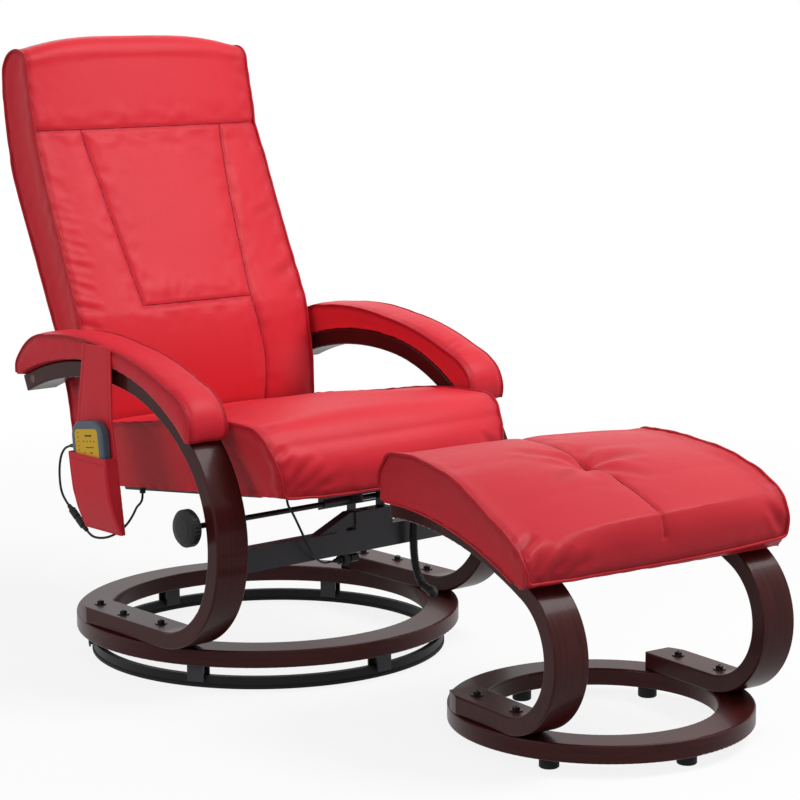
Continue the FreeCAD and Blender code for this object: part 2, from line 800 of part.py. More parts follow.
bolt_inner_x = size("side_plate_x") + 0.5
head_x = leg_high_x - size("pivot_recess_deep")
pivot_bolt = x_cylinder(size("pivot_bolt"), pivot_y, pivot_z, bolt_inner_x, head_x)
pivot_bolt = pivot_bolt.fuse(x_cylinder(size("pivot_head"), pivot_y, pivot_z, head_x,
                                        head_x + size("pivot_head_high"))).removeSplitter()
feature("recline_pivot_bolts", Part.makeCompound([pivot_bolt, mirrored(pivot_bolt)]))
cap = x_cylinder(size("pivot_head"), pivot_y, pivot_z, leg_high_x - size("cap_thick"), leg_high_x + 0.5)
feature("bolt_caps", Part.makeCompound([cap, mirrored(cap)]))

# Padded arms on the bentwood

pad_middle_x = (size("pad_inner_x") + size("pad_outer_x")) / 2
pad_half = (size("pad_outer_x") - size("pad_inner_x")) / 2
pad_gap = half_wood + size("soft_gap")
pad_front_heading = 46.0
front_piece, shoulder_piece, arm_piece = leg_arcs[1], leg_arcs[2], leg_arcs[3]
pad_foot = on_arc(front_piece, pad_front_heading, pad_gap)
pad_knots = [
    (*pad_foot, 0, 0), None,
    (-238, 420, 0, 0), (-237, 456, -5, 1),
    (-213, 484, -5, 7), (-196, 494, -3, 9),
    (-176, 501, -1, 10), (-99, 529, 0, 10),
    (-15, 546, 0, 6), (75, 556, 0, 5),
    (160, 552, 0, 5), (216, 539, 1, 5),
    (252, 508, 3, 4), (263, 490, 3, 1),
    (*on_arc(arm_piece, arm_piece[3], pad_gap + 6), 0, 0), None,
    (*on_arc(arm_piece, arm_piece[3], pad_gap), 0, 0),
    (*on_arc(arm_piece, (arm_piece[2] + arm_piece[3]) / 2, pad_gap), 0, 0),
    (*on_arc(arm_piece, arm_piece[2], pad_gap), 0, 0),
    (*on_arc(shoulder_piece, (shoulder_piece[2] + shoulder_piece[3]) / 2, pad_gap), 0, 0),
    (*on_arc(shoulder_piece, shoulder_piece[2], pad_gap), 0, 0),
    (*on_arc(front_piece, (front_piece[3] + pad_front_heading) / 2, pad_gap), 0, 0)]
pad = crowned(pad_knots, pad_middle_x, lambda z: pad_half, SHARES, 2.5)
feature("arm_pad_left", pad)
feature("arm_pad_right", mirrored(pad))

# Backrest side shape, its parting line and the frame inside it


def back_half_at(z):
    return size("back_half") - size("back_taper") * (z - size("back_taper_z"))


back_low = size("back_bottom")
back_knots = [
    (217, back_low, 3, 0), None,
    (183, back_low, -2, 0), (180, 455, -20, 0),
    (198, 570, -24, 0), (257, 700, -22, 0),
    (319, 850, -20, 0), (340, 925, -18, 3),
    (352, 985, -10, 18), (357, 1003, -6, 28),
    (372, 1012, 0, 32), (410, 1005, 4, 28),
    (428, 965, 8, 4), (413, 858, 9, 0),
    (374, 750, 9, 0), (312, 625, 8, 0),
    (262, 520, 7, 0), (234, 440, 5, 0)]
back_solid = crowned(back_knots, 0.0, back_half_at, SHARES, 2.5)

parting = [(204, 300), (206, 430), (256, 575), (373, 860), (404, 1090)]
front_side = polygon(parting + [(0, 1090), (0, 300)], -300, 300)
cushion = back_solid.common(front_side)
cover = back_solid.cut(front_side)

# Frame of the backrest: side plates with the pivot and hinge holes, and bars between them

hinge_y, hinge_z = size("hinge_y"), size("hinge_z")
plate_low, plate_high = size("side_plate_x"), size("side_plate_x") + size("side_plate_thick")
plate_line = [(hinge_y, hinge_z), (213, 405), (pivot_y - 2, pivot_z), (260, 578),
              (260 + (size("side_plate_top") - 578) * 117 / 285, size("side_plate_top"))]
lower, upper = parting[2], parting[3]
slope = math.degrees(math.atan2(upper[0] - lower[0], upper[1] - lower[1]))
panel = Placement(Vector(0, lower[0], lower[1]), Rotation(Vector(1, 0, 0), -slope))


def on_panel(half, at, long, front, deep):
    """A block on the backrest's board plane, from a depth behind it to one before it."""
    block = Part.makeBox(2 * half, deep, long, Vector(-half, -front, at))
    return block.transformed(panel.toMatrix())


def side_plate(half, grow):
    plate = line_strip(plate_line, half, plate_low - grow, plate_high + grow)
    boss = x_cylinder(size("bush_radius") + 3.5 + grow, pivot_y, pivot_z, plate_low - grow, plate_high + grow)
    lug = x_cylinder(size("lug_radius") + grow, hinge_y, hinge_z, plate_low - grow, plate_high + grow)
    return plate.fuse([boss, lug])


def back_bars(grow):
    bars = []
    for at in (size("low_bar_at"), size("high_bar_at")):
        bars.append(on_panel(plate_low + 1, at - grow, size("bar_high") + 2 * grow,
                             -size("board_thick"), size("bar_thick") + grow))
    return bars


side = side_plate(size("side_plate_half"), 0.0)
back_frame = side.fuse([mirrored(side)] + back_bars(0.0))
back_frame = back_frame.fuse(x_cylinder(6.0, pivot_y, pivot_z, -plate_low, plate_low))
for sign in (-1, 1):
    low = sign * (plate_low + plate_high) / 2 - 4
    back_frame = back_frame.cut(x_cylinder(size("pivot_bolt") + size("pivot_gap"), pivot_y, pivot_z,
                                           low, low + 8))
    back_frame = back_frame.cut(x_cylinder(size("hinge_pin") + size("hinge_play"), hinge_y, hinge_z,
                                           low, low + 8))
feature("back_frame", back_frame.removeSplitter())

bush = x_cylinder(size("bush_radius"), pivot_y, pivot_z, plate_high, leg_low_x - size("running_gap"))
bush = bush.cut(x_cylinder(size("pivot_bolt") + size("pivot_gap"), pivot_y, pivot_z,
                           plate_high - 1, leg_low_x))
feature("pivot_bushes", Part.makeCompound([bush, mirrored(bush)]))

# Board, motors and heating pad on the straight part of the backrest

board = on_panel(size("board_half"), size("board_low"), size("board_long"), 0.0, size("board_thick"))
feature("back_board", board)


def on_board(x, at, radius, long, lift=0.0):
    """A round piece that stands on the front of the backrest's board."""
    spot = panel.multVec(Vector(x, -lift, at))
    outwards = panel.Rotation.multVec(Vector(0, -1, 0))
    return Part.makeCylinder(radius, long, spot, outwards)


back_motor_spots = [(side * size(pair + "_motor_x"), size(pair + "_motor_at"))
                    for pair in ("lumbar", "upper") for side in (-1, 1)]
back_motors = [on_board(x, at, size("motor_radius"), size("back_motor_long")) for x, at in back_motor_spots]
feature("back_motors", Part.makeCompound(back_motors))
heater = on_panel(size("heater_half"), size("heater_at"), size("heater_long"), size("heater_thick"),
                  size("heater_thick"))
feature("heater_pad", heater)

gap = size("soft_gap")
room = [side_plate(size("side_plate_half") + gap, gap)]
room.append(mirrored(room[0]))
room += back_bars(gap)
room.append(x_cylinder(6.0 + gap, pivot_y, pivot_z, -plate_low, plate_low))
bush_room = x_cylinder(size("bush_radius") + gap, pivot_y, pivot_z, plate_high, leg_low_x)
room += [bush_room, mirrored(bush_room)]
room.append(on_panel(size("board_half") + gap, size("board_low") - gap, size("board_long") + 2 * gap,
                     gap, size("board_thick") + 2 * gap))
room += [on_board(x, at, size("motor_radius") + gap, size("back_motor_long") + gap)
         for x, at in back_motor_spots]
room.append(on_panel(size("heater_half") + gap, size("heater_at") - gap, size("heater_long") + 2 * gap,
                     size("heater_thick") + gap, size("heater_thick") + gap))
cushion = cushion.cut(room)
cover = cover.cut(room)
feature("back_cushion", cushion)
feature("back_rear_cover", cover)

# Seat cushion on its board

seat_slope = math.degrees(math.atan2(size("seat_front_bottom") - size("seat_rear_bottom"),
                                     size("seat_rear") - size("seat_front")))
seat_plane = Placement(Vector(0, size("seat_front"), size("seat_front_bottom")),
                       Rotation(Vector(1, 0, 0), -seat_slope))


def seat_bottom(y):
    return size("seat_front_bottom") - (y - size("seat_front")) * math.tan(math.radians(seat_slope))


def seat_half_at(z):
    return size("seat_half") - size("seat_taper") * (size("seat_taper_z") - z)


def on_seat(low_x, high_x, back, long, low, high):
    """A block in the seat's own axes: from the front edge backwards, and up from its underside."""
    block = Part.makeBox(high_x - low_x, long, high - low, Vector(low_x, back, low))
    return block.transformed(seat_plane.toMatrix())


seat_knots = [
    (size("seat_rear"), size("seat_rear_bottom"), 0, 0), None,
    (size("seat_front"), size("seat_front_bottom"), -18, 18 * math.tan(math.radians(seat_slope))),
    (-342, 378, -26, 0),
    (-327, 412, -22, 4), (-312, 433, -16, 10),
    (-286, 443, -4, 15), (-170, 440, 0, 18),
    (-60, 424, 0, 17), (50, 407, 0, 11),
    (size("seat_rear"), 391, 0, 3), None]
seat = crowned(seat_knots, 0.0, seat_half_at, SHARES, 2.5)
seat_length = (size("seat_rear") - size("seat_front")) / math.cos(math.radians(seat_slope))
board_thick = size("seat_board_thick")
seat_board = on_seat(-size("seat_board_half"), size("seat_board_half"), size("seat_board_inset"),
                     seat_length - 2 * size("seat_board_inset"), 0.0, board_thick)
seat_motor_spots = [seat_plane.multVec(Vector(side * size("seat_motor_x"), size("seat_motor_from_front"),
                                              board_thick)) for side in (-1, 1)]
seat_up = seat_plane.Rotation.multVec(Vector(0, 0, 1))
seat_motors = [Part.makeCylinder(size("motor_radius"), size("motor_long"), spot, seat_up)
               for spot in seat_motor_spots]
seat_room = [on_seat(-size("seat_board_half") - gap, size("seat_board_half") + gap,
                     size("seat_board_inset") - gap, seat_length - 2 * size("seat_board_inset") + 2 * gap,
                     -20.0, board_thick + gap),
             on_seat(size("box_low_x") - gap, size("box_low_x") + size("box_wide") + gap,
                     size("box_from_front") - gap, size("box_long") + 2 * gap,
                     board_thick - 1.0, board_thick + size("box_high") + gap)]
seat_room += [Part.makeCylinder(size("motor_radius") + gap, size("motor_long") + gap, spot, seat_up)
              for spot in seat_motor_spots]
feature("seat_cushion", seat.cut(seat_room))
feature("seat_board", seat_board)
feature("seat_motors", Part.makeCompound(seat_motors))

# Side rails under the seat that reach back to the backrest's hinge

tilt_length = 1 / math.cos(math.radians(seat_slope))
rail_line = [(size("rail_front"), seat_bottom(size("rail_front")) - size("rail_half") * tilt_length),
             (size("rail_corner"), seat_bottom(size("rail_corner")) - size("rail_half") * tilt_length),
             (hinge_y, hinge_z)]
rail_low, rail_high = size("rail_x"), size("rail_x") + size("rail_thick")
rail = line_strip(rail_line, size("rail_half"), rail_low, rail_high)
rail = rail.fuse(x_cylinder(size("rail_boss"), hinge_y, hinge_z, rail_low, rail_high)).removeSplitter()
rail = rail.cut(x_cylinder(size("hinge_pin") + size("pivot_gap"), hinge_y, hinge_z,
                           rail_low - 1, rail_high + 1))
feature("seat_rails", Part.makeCompound([rail, mirrored(rail)]))
pin = x_cylinder(size("hinge_pin"), hinge_y, hinge_z, rail_low - 0.3, plate_high + 3)
pin = pin.fuse(x_cylinder(9.0, hinge_y, hinge_z, rail_low - 4, rail_low - 0.3))
pin = pin.fuse(x_cylinder(11.0, hinge_y, hinge_z, plate_high + 0.6, plate_high + 3)).removeSplitter()
feature("seat_hinge_pins", Part.makeCompound([pin, mirrored(pin)]))

# Slotted channel under the seat that slides over the clamp rod

reach = math.hypot(pivot_y - hinge_y, pivot_z - hinge_z)
start_angle = math.degrees(math.atan2(pivot_y - hinge_y, pivot_z - hinge_z))
slide_angle = start_angle + size("recline_angle") / 2
slide_travel = 2 * reach * math.sin(math.radians(size("recline_angle") / 2))
slide_ratio = slide_travel / math.radians(size("recline_angle"))
slope_y, slope_z = math.cos(math.radians(slide_angle)), -math.sin(math.radians(slide_angle))
clamp_y, clamp_z = size("clamp_y"), size("clamp_z")
slot_half = size("rod_radius") + size("running_gap")
edge_drop = (slot_half + size("slot_edge")) / math.cos(math.radians(slide_angle))


def slot_line(y):
    return clamp_z - (y - clamp_y) * math.tan(math.radians(slide_angle))


flange_low_x = size("ear_low_x") + size("ear_thick") + size("running_gap")
flange_high_x = size("ear_high_x") - size("ear_thick") - size("running_gap")
front_y, rear_y = size("channel_front"), size("channel_rear")
skirt = [(front_y, seat_bottom(front_y)), (rear_y, seat_bottom(rear_y)),
         (rear_y, slot_line(rear_y) - edge_drop), (front_y, slot_line(front_y) - edge_drop)]
thick = size("channel_sheet")
web = [(front_y, seat_bottom(front_y)), (rear_y, seat_bottom(rear_y)),
       (rear_y, seat_bottom(rear_y) - thick), (front_y, seat_bottom(front_y) - thick)]
channel = polygon(web, flange_low_x, flange_high_x)
channel = channel.fuse([polygon(skirt, flange_low_x, flange_low_x + thick),
                        polygon(skirt, flange_high_x - thick, flange_high_x)])
slot_reach = slide_travel + 0.6
slot_end = (clamp_y + slope_y * slot_reach, clamp_z + slope_z * slot_reach)
slot = line_strip([(clamp_y, clamp_z), slot_end], slot_half, flange_low_x - 1, flange_high_x + 1)
slot = slot.fuse([x_cylinder(slot_half, y, z, flange_low_x - 1, flange_high_x + 1)
                  for y, z in ((clamp_y, clamp_z), slot_end)])
feature("seat_slide_channel", channel.cut(slot).removeSplitter())

# Control box on the seat's board, and the glands where the leads leave the seat

box = on_seat(size("box_low_x"), size("box_low_x") + size("box_wide"), size("box_from_front"),
              size("box_long"), board_thick, board_thick + size("box_high"))
box_edges = [edge for edge in box.Edges if edge.Length < size("box_high") + 0.01]
feature("control_box", box.makeFillet(4.0, box_edges))

power_exit = Vector(-163, -266, 0)
remote_exit = Vector(-212, 66, 0)
conduit_exit = Vector(100, -271, 0)
for spot in (power_exit, remote_exit, conduit_exit):
    spot.z = seat_bottom(spot.y)


def gland(spot, bore):
    """A short nipple under the seat, upright, with a bore for its lead."""
    low = spot.z - size("gland_long")
    body = Part.makeCylinder(bore + 3.0, size("gland_long") + 12, Vector(spot.x, spot.y, low))
    slab = on_seat(-400, 400, -200, 900, 0.0, 60.0)
    body = body.cut(slab)
    return body.cut(Part.makeCylinder(bore, size("gland_long") + 1, Vector(spot.x, spot.y, low - 1)))


glands = [gland(power_exit, size("lead_radius") + 0.1), gland(remote_exit, size("lead_radius") + 0.1),
          gland(conduit_exit, size("conduit_radius") + 0.4)]
feature("seat_glands", Part.makeCompound(glands))

# Strap and pocket for the remote control, on the outside of the right arm

strap_x = -size("pad_outer_x") - size("running_gap")
strap_outline = [(49, 550), (70, 425), (76, 371), (55, 246), (-59, 246), (-41, 371), (-30, 425), (-32, 550)]
strap = polygon(strap_outline, strap_x - size("strap_thick"), strap_x)
feature("remote_strap", strap)
pocket_x = strap_x - size("strap_thick")
pocket_outline = [(68, 371), (47, 246), (-59, 246), (-41, 371)]
room_outline = [(66, 380), (64.5, 371), (45, 252), (-52.5, 252), (-36.5, 371), (-35, 380)]


def pocket_depth(out, foot_z, top_z):
    """A block across the pocket that is deep at the top and shallow at the foot."""
    corners = [(pocket_x, foot_z), (pocket_x, top_z), (pocket_x - size("pocket_deep") - out, top_z),
               (pocket_x - size("pocket_deep") - out, size("pocket_taper_z")),
               (pocket_x - size("pocket_foot_deep") - out, foot_z)]
    face = Part.Face(Part.makePolygon([Vector(x, -100, z) for x, z in corners + corners[:1]]))
    return face.extrude(Vector(0, 200, 0))


pocket = polygon(pocket_outline, pocket_x - 60, pocket_x).common(pocket_depth(size("pocket_wall"), 246, 371))
pocket_edges = [edge for edge in pocket.Edges if edge.BoundBox.XMax < pocket_x - 1 and edge.BoundBox.ZLength > 20]
pocket = pocket.makeFillet(size("pocket_round"), pocket_edges)
pocket = pocket.cut(polygon(room_outline, pocket_x - 60, pocket_x).common(pocket_depth(0.0, 252, 380)))
feature("remote_pocket", pocket)

# Remote control: two shells, a board, a label panel and four keys

tilt = math.radians(size("remote_tilt"))
remote_up = Vector(0, math.sin(tilt), math.cos(tilt))
remote_out = Vector(-1, 0, 0)
remote_right = remote_up.cross(remote_out)
remote_centre = Vector(pocket_x - 0.8, size("remote_top_y"), size("remote_top_z")) \
    - remote_up * (size("remote_long") / 2)
remote_place = Placement(remote_centre, Rotation(remote_right, remote_up, remote_out, "ZXY"))
remote_thick = size("remote_thick")


def rounded_block(wide, long, low, high, corner_radius):
    """A block with rounded upright corners, in the remote's own axes."""
    block = Part.makeBox(wide, long, high - low, Vector(-wide / 2, -long / 2, low))
    upright = [edge for edge in block.Edges if abs(edge.tangentAt(0).z) > 0.9]
    return block.makeFillet(corner_radius, upright)


case = rounded_block(size("remote_wide"), size("remote_long"), 0.0, remote_thick, size("remote_corner"))
case = case.makeFillet(size("remote_edge"), [edge for edge in case.Edges if edge.BoundBox.ZLength < 1e-6])
wall = size("remote_wall")
case = case.cut(rounded_block(size("remote_wide") - 2 * wall, size("remote_long") - 2 * wall,
                              wall, remote_thick - wall, size("remote_corner") - wall))
half_space = Part.makeBox(200, 200, remote_thick, Vector(-100, -100, -remote_thick / 2))
case_back = case.common(half_space)
case_front = case.cut(half_space)
label_low = remote_thick - size("label_thick")
label = rounded_block(size("label_wide"), size("label_long"), label_low, remote_thick, 8.0)
label_seat = rounded_block(size("label_wide") + 0.4, size("label_long") + 0.4, label_low,
                           remote_thick + 1, 8.2)
case_front = case_front.cut(label_seat)
key_names = ("power", "program", "heat", "speed")
key_spots = [Vector(column * size("key_column") / 2, size("key_first") - line * size("key_row"), 0)
             for line in range(2) for column in (-1, 1)]
key_base = wall + 5.0
key_solids = []
for spot in key_spots:
    key = rounded_block(size("key_wide"), size("key_long"), key_base + size("key_travel") + 0.4,
                        remote_thick + size("key_proud"), 2.5)
    key.translate(spot)
    hole = rounded_block(size("key_wide") + 0.6, size("key_long") + 0.6, 0.0, remote_thick + 5, 2.8)
    hole.translate(spot + Vector(0, 0, key_base))
    case_front = case_front.cut(hole)
    label = label.cut(hole)
    key_solids.append(key)
feature("remote_case_back", case_back, remote_place)
feature("remote_case_front", case_front, remote_place)
feature("remote_label", label, remote_place)
circuit = rounded_block(size("remote_wide") - 2 * wall - 0.6, size("remote_long") - 2 * wall - 0.6,
                        wall + 0.3, key_base, size("remote_corner") - wall - 0.3)
feature("remote_board", circuit, remote_place)
for name, key in zip(key_names, key_solids):
    feature("key_" + name, key, remote_place)

# Strain relief where the lead leaves the rear edge of the remote

lead = size("lead_radius")
relief_out = remote_right * -1
relief_start = remote_place.multVec(Vector(-size("remote_wide") / 2, size("relief_up"), remote_thick / 2))
relief_end = relief_start + relief_out * size("relief_long")
relief = Part.makeCone(4.2, 2.9, size("relief_long"), relief_start, relief_out)
relief = relief.cut(Part.makeCylinder(lead + 0.1, size("relief_long"), relief_start + relief_out * 4.0,
                                      relief_out))
feature("remote_strain_relief", relief)

# Leads: straight runs joined by arcs as large as the runs allow


def lead_path(points, arc_share=0.45):
    """The middle line of a lead, as edges, with the radii of its arcs."""
    edges, radii = [], []
    start = points[0]
    for i in range(1, len(points) - 1):
        before, here, after = points[i - 1], points[i], points[i + 1]
        arriving = (here - before).normalize()
        leaving = (after - here).normalize()
        half_turn = arriving.getAngle(leaving) / 2
        back = arc_share * min((here - before).Length, (after - here).Length)
        radii.append(back / math.tan(half_turn))
        enter = here - arriving * back
        leave = here + leaving * back
        inwards = (leaving - arriving).normalize()
        middle = here + inwards * (radii[-1] / math.cos(half_turn) - radii[-1])
        edges.append(line_edge(start, enter))
        edges.append(Part.Arc(enter, middle, leave).toShape())
        start = leave
    edges.append(line_edge(start, points[-1]))
    return edges, radii


def lead_tube(name, points, radius):
    """A round lead along its route, with its volume compared and its radii printed."""
    edges, radii = lead_path(points)
    wire = Part.Wire(edges)
    direction = (points[1] - points[0]).normalize()
    ring = Part.Wire(Part.Circle(points[0], direction, radius).toShape())
    tube = wire.makePipeShell([ring], True, False)
    wanted = math.pi * radius ** 2 * wire.Length
    print("%s length %.1f volume ratio %.4f least radius %.1f"
          % (name, wire.Length, tube.Volume / wanted, min(radii)))
    return tube


connector_start = Vector(-333, 106, 270.6)
connector_end = Vector(-333, 54, 236.6)
along = (connector_end - connector_start).normalize()
upper_route = [relief_end - relief_out * 12.0, relief_end + relief_out * 12.0,
               Vector(-346, 104, 361), Vector(-344, 114.5, 339), Vector(-341, 120, 315),
               Vector(-337, 122.5, 293), connector_start - along * 13.0, connector_start]
feature("remote_lead_upper", lead_tube("remote_lead_upper", upper_route, lead))
lower_route = [connector_end, connector_end + along * 12.0, Vector(-330, 29, 227), Vector(-320, 12, 229),
               Vector(-304, 1, 238), Vector(-284, 4, 250), Vector(-262, 20, 260), Vector(-241, 42, 265),
               Vector(-222, 58, 266), Vector(remote_exit.x, remote_exit.y, remote_exit.z - 16.5),
               Vector(remote_exit.x, remote_exit.y, remote_exit.z - 1)]
feature("remote_lead_lower", lead_tube("remote_lead_lower", lower_route, lead))

# In-line connector of the remote's lead: plug and socket halves

span = (connector_end - connector_start).Length
connector_parts = []
for start, end, radius, tip in ((0.0, 0.18, 3.4, 4.6), (0.18, 0.47, 6.2, 6.2), (0.47, 0.55, 5.0, 5.0),
                                (0.55, 0.82, 6.2, 6.2), (0.82, 1.0, 4.6, 3.4)):
    base = connector_start + along * (span * start)
    if radius == tip:
        connector_parts.append(Part.makeCylinder(radius, span * (end - start), base, along))
    else:
        connector_parts.append(Part.makeCone(radius, tip, span * (end - start), base, along))
connector = connector_parts[0].fuse(connector_parts[1:]).removeSplitter()
feature("remote_connector", connector)

# Power lead and its connector, held under the beam by a clip

plug_x = -50.0
plug_y = beam_rear - size("beam_deep") / 2 - 2.0
plug_z = size("beam_bottom") - 10.5
power_route = [Vector(power_exit.x, power_exit.y, power_exit.z - 1),
               Vector(power_exit.x, power_exit.y, power_exit.z - 19.5), Vector(-155, -268, 294),
               Vector(-146, -270, 275), Vector(-136, -270.5, 255), Vector(-125, -270, 234),
               Vector(-112, -267, 215), Vector(-93, -260, 200), Vector(-73, -250, plug_z + 1),
               Vector(plug_x - 11, plug_y, plug_z), Vector(plug_x, plug_y, plug_z)]
feature("power_lead", lead_tube("power_lead", power_route, lead))
plug = Part.makeCone(3.2, 5.0, 9, Vector(plug_x, plug_y, plug_z), Vector(1, 0, 0))
plug = plug.fuse([Part.makeCylinder(7.0, 20, Vector(plug_x + 9, plug_y, plug_z), Vector(1, 0, 0)),
                  Part.makeCylinder(5.6, 4, Vector(plug_x + 29, plug_y, plug_z), Vector(1, 0, 0)),
                  Part.makeCylinder(7.0, 15, Vector(plug_x + 33, plug_y, plug_z), Vector(1, 0, 0))])
feature("power_connector", plug.removeSplitter())
clip = Part.makeBox(8, 20, size("beam_bottom") - plug_z + 9, Vector(plug_x + 15, plug_y - 10, plug_z - 9))
clip = clip.cut(Part.makeCylinder(7.0 + 0.2, 30, Vector(plug_x, plug_y, plug_z), Vector(1, 0, 0)))
clip = clip.cut(Part.makeBox(40, 8, 12, Vector(plug_x, plug_y - 4, plug_z - 14)))
feature("lead_clip", clip)

# Ribbed conduit that hangs from the seat, with its end fitting

conduit_route = [Vector(conduit_exit.x, conduit_exit.y, conduit_exit.z - 1), Vector(100, -273, 262),
                 Vector(100, -270, 196), Vector(100, -276, 160), Vector(100, -292, 136),
                 Vector(100, -312, 130)]
route_edges, route_radii = lead_path(conduit_route)
route_wire = Part.Wire(route_edges)
print("conduit length %.1f least radius %.1f" % (route_wire.Length, min(route_radii)))


def route_frame(distance):
    """Place and direction at a distance along the conduit."""
    for edge in route_edges:
        if distance <= edge.Length + 1e-9:
            at = edge.getParameterByLength(min(distance, edge.Length))
            return edge.valueAt(at), edge.tangentAt(at)
        distance -= edge.Length
    return route_edges[-1].valueAt(route_edges[-1].LastParameter), route_edges[-1].tangentAt(0)


def route_circle(distance, radius):
    """A circle round the conduit whose X axis stays steady."""
    spot, direction = route_frame(distance)
    across = Vector(1, 0, 0)
    circle = Part.Wire(Part.Circle(Vector(), Vector(0, 0, 1), radius).toShape())
    circle.Placement = Placement(spot, Rotation(across, direction.cross(across), direction, "ZXY"))
    return circle


plain = 2 * size("conduit_radius")
peak, valley, pitch = size("conduit_radius"), size("conduit_valley"), size("rib_pitch")
rib_count = int((route_wire.Length - 2 * plain) / pitch)
rings = [route_circle(0.0, peak), route_circle(plain, peak)]
start = (route_wire.Length - rib_count * pitch) / 2
for i in range(rib_count):
    for share, radius in ((0.1, valley), (0.4, valley), (0.6, peak), (0.9, peak)):
        rings.append(route_circle(start + (i + share) * pitch, radius))
rings += [route_circle(route_wire.Length - plain + 2, peak), route_circle(route_wire.Length, peak)]
ribbed = Part.makeLoft(rings, True, True)
bore_ring = Part.Wire(Part.Circle(conduit_route[0], (conduit_route[1] - conduit_route[0]).normalize(),
                                  size("conduit_bore")).toShape())
conduit_core = route_wire.makePipeShell([bore_ring], True, False)
ribbed = ribbed.cut(conduit_core)
print("conduit ribs %d volume %.0f" % (rib_count, ribbed.Volume))
feature("conduit", ribbed)
tail = (conduit_route[-1] - conduit_route[-2]).normalize()
fitting = Part.makeCylinder(peak + 1.4, 9, conduit_route[-1], tail)
fitting = fitting.fuse(Part.makeCone(peak + 1.4, 3.6, 7, conduit_route[-1] + tail * 9, tail)).removeSplitter()
feature("conduit_fitting", fitting)

# Knob, clamp rod and nut

knob_body, knob_turn = turned_body("recline_knob_body", [
    ("sizes.rod_radius + 0.1", "0"), ("sizes.knob_hub", "0"), ("sizes.knob_hub", "sizes.knob_hub_long"),
    ("sizes.knob_radius - 3", "sizes.knob_hub_long"),
    ("sizes.knob_radius", "sizes.knob_hub_long + 3"),
    ("sizes.knob_radius", "sizes.knob_hub_long + sizes.knob_rim - 4"),
    ("sizes.knob_radius - 4", "sizes.knob_hub_long + sizes.knob_rim"),
    ("sizes.knob_radius - 14", "sizes.knob_hub_long + sizes.knob_rim + 2"),
    ("0", "sizes.knob_hub_long + sizes.knob_rim + 2.6"),
    ("0", "sizes.knob_hub_long + sizes.knob_rim - 4"),
    ("sizes.rod_radius + 0.1", "sizes.knob_hub_long + sizes.knob_rim - 4")])
doc.recompute()
grip_sketch = new_sketch(knob_body, "XY_Plane", "grip")
grip_sketch.addGeometry(Part.Circle(Vector(value("sizes.knob_radius + 0.6 * sizes.knob_grip"), 0, 0),
                                    Vector(0, 0, 1), size("knob_grip")), False)
grip_sketch.addConstraint(Sketcher.Constraint("PointOnObject", 0, 3, -1))
grip_index = grip_sketch.addConstraint(Sketcher.Constraint("DistanceX", -1, 1, 0, 3,
                                                           value("sizes.knob_radius + 0.6 * sizes.knob_grip")))
grip_sketch.setExpression("Constraints[%d]" % grip_index, "sizes.knob_radius + 0.6 * sizes.knob_grip")
grip_radius = grip_sketch.addConstraint(Sketcher.Constraint("Radius", 0, size("knob_grip")))
grip_sketch.setExpression("Constraints[%d]" % grip_radius, "sizes.knob_grip")
doc.recompute()
grip_cut = knob_body.newObject("PartDesign::Pocket", "grip_cut")
grip_cut.Profile = grip_sketch
grip_cut.Type = 1
grip_cut.Midplane = True
grip_cut.Reversed = True
doc.recompute()
before_grips = knob_turn.Shape.Volume
grips = knob_body.newObject("PartDesign::PolarPattern", "grips")
grips.Originals = [grip_cut]
grips.Axis = (grip_sketch, ["N_Axis"])
grips.Angle = 360
grips.setExpression("Occurrences", "sizes.knob_grips")
knob_body.Tip = grips
doc.recompute()
print("knob volume %.0f, less its grips %.0f" % (before_grips, knob_body.Shape.Volume))
knob_foot_x = size("knob_face_x") + size("knob_rim") + size("knob_hub_long")
knob_body.Placement = Placement(Vector(knob_foot_x, clamp_y, clamp_z), Rotation(Vector(0, 1, 0), -90))
node(knob_body, "recline_knob")

rod_start = size("knob_face_x") + 5.5
rod = bound("Cylinder", "clamp_rod", (rod_start, clamp_y, clamp_z), Rotation(Vector(0, 1, 0), 90),
            Radius="sizes.rod_radius", Height="sizes.rod_end_x - sizes.knob_face_x - 5.5")
node(rod, "clamp_rod")

nut_blank = bound("Prism", "nut_blank", (size("ear_high_x") + size("nut_gap"), clamp_y, clamp_z),
                  Rotation(Vector(0, 1, 0), 90), Circumradius="sizes.nut_flats / sqrt(3)",
                  Height="sizes.nut_long")
nut_blank.Polygon = 6
nut_bore = bound("Cylinder", "nut_bore", (size("ear_high_x") + size("nut_gap") - 1, clamp_y, clamp_z),
                 Rotation(Vector(0, 1, 0), 90), Radius="sizes.rod_radius + sizes.pivot_gap",
                 Height="sizes.nut_long + 2")
node(cut(nut_blank, [nut_bore], "clamp_nut"), "clamp_nut")

# Footstool, modelled about the middle of its own ring and then set in place

stool = Placement(Vector(size("stool_x"), size("stool_y"), 0), Rotation(Vector(0, 0, 1), size("stool_turn")))
stool_ring_top = size("stool_foot_high") + size("stool_ring_thick")
stool_bolt_spots = [Vector(side * (size("stool_leg_inner_x") + size("bentwood_wide") / 2), y, 0)
                    for side in (-1, 1) for y in (size("stool_bolt_rear"), size("stool_bolt_front"))]
stool_blank = ring_body("stool_ring_blank", "sizes.stool_ring_radius", "sizes.stool_ring_hole",
                        "sizes.stool_foot_high", "sizes.stool_foot_high + sizes.stool_ring_thick",
                        "sizes.wood_round")
doc.recompute()
stool_drill = []
for spot in stool_bolt_spots:
    hole = bolt_hole.Shape.copy()
    hole.translate(spot + Vector(0, 0, stool_ring_top - size("foot_bolt_into_ring") - 1))
    stool_drill.append(hole)
feature("ottoman_ring", stool_blank.Shape.cut(stool_drill), stool)

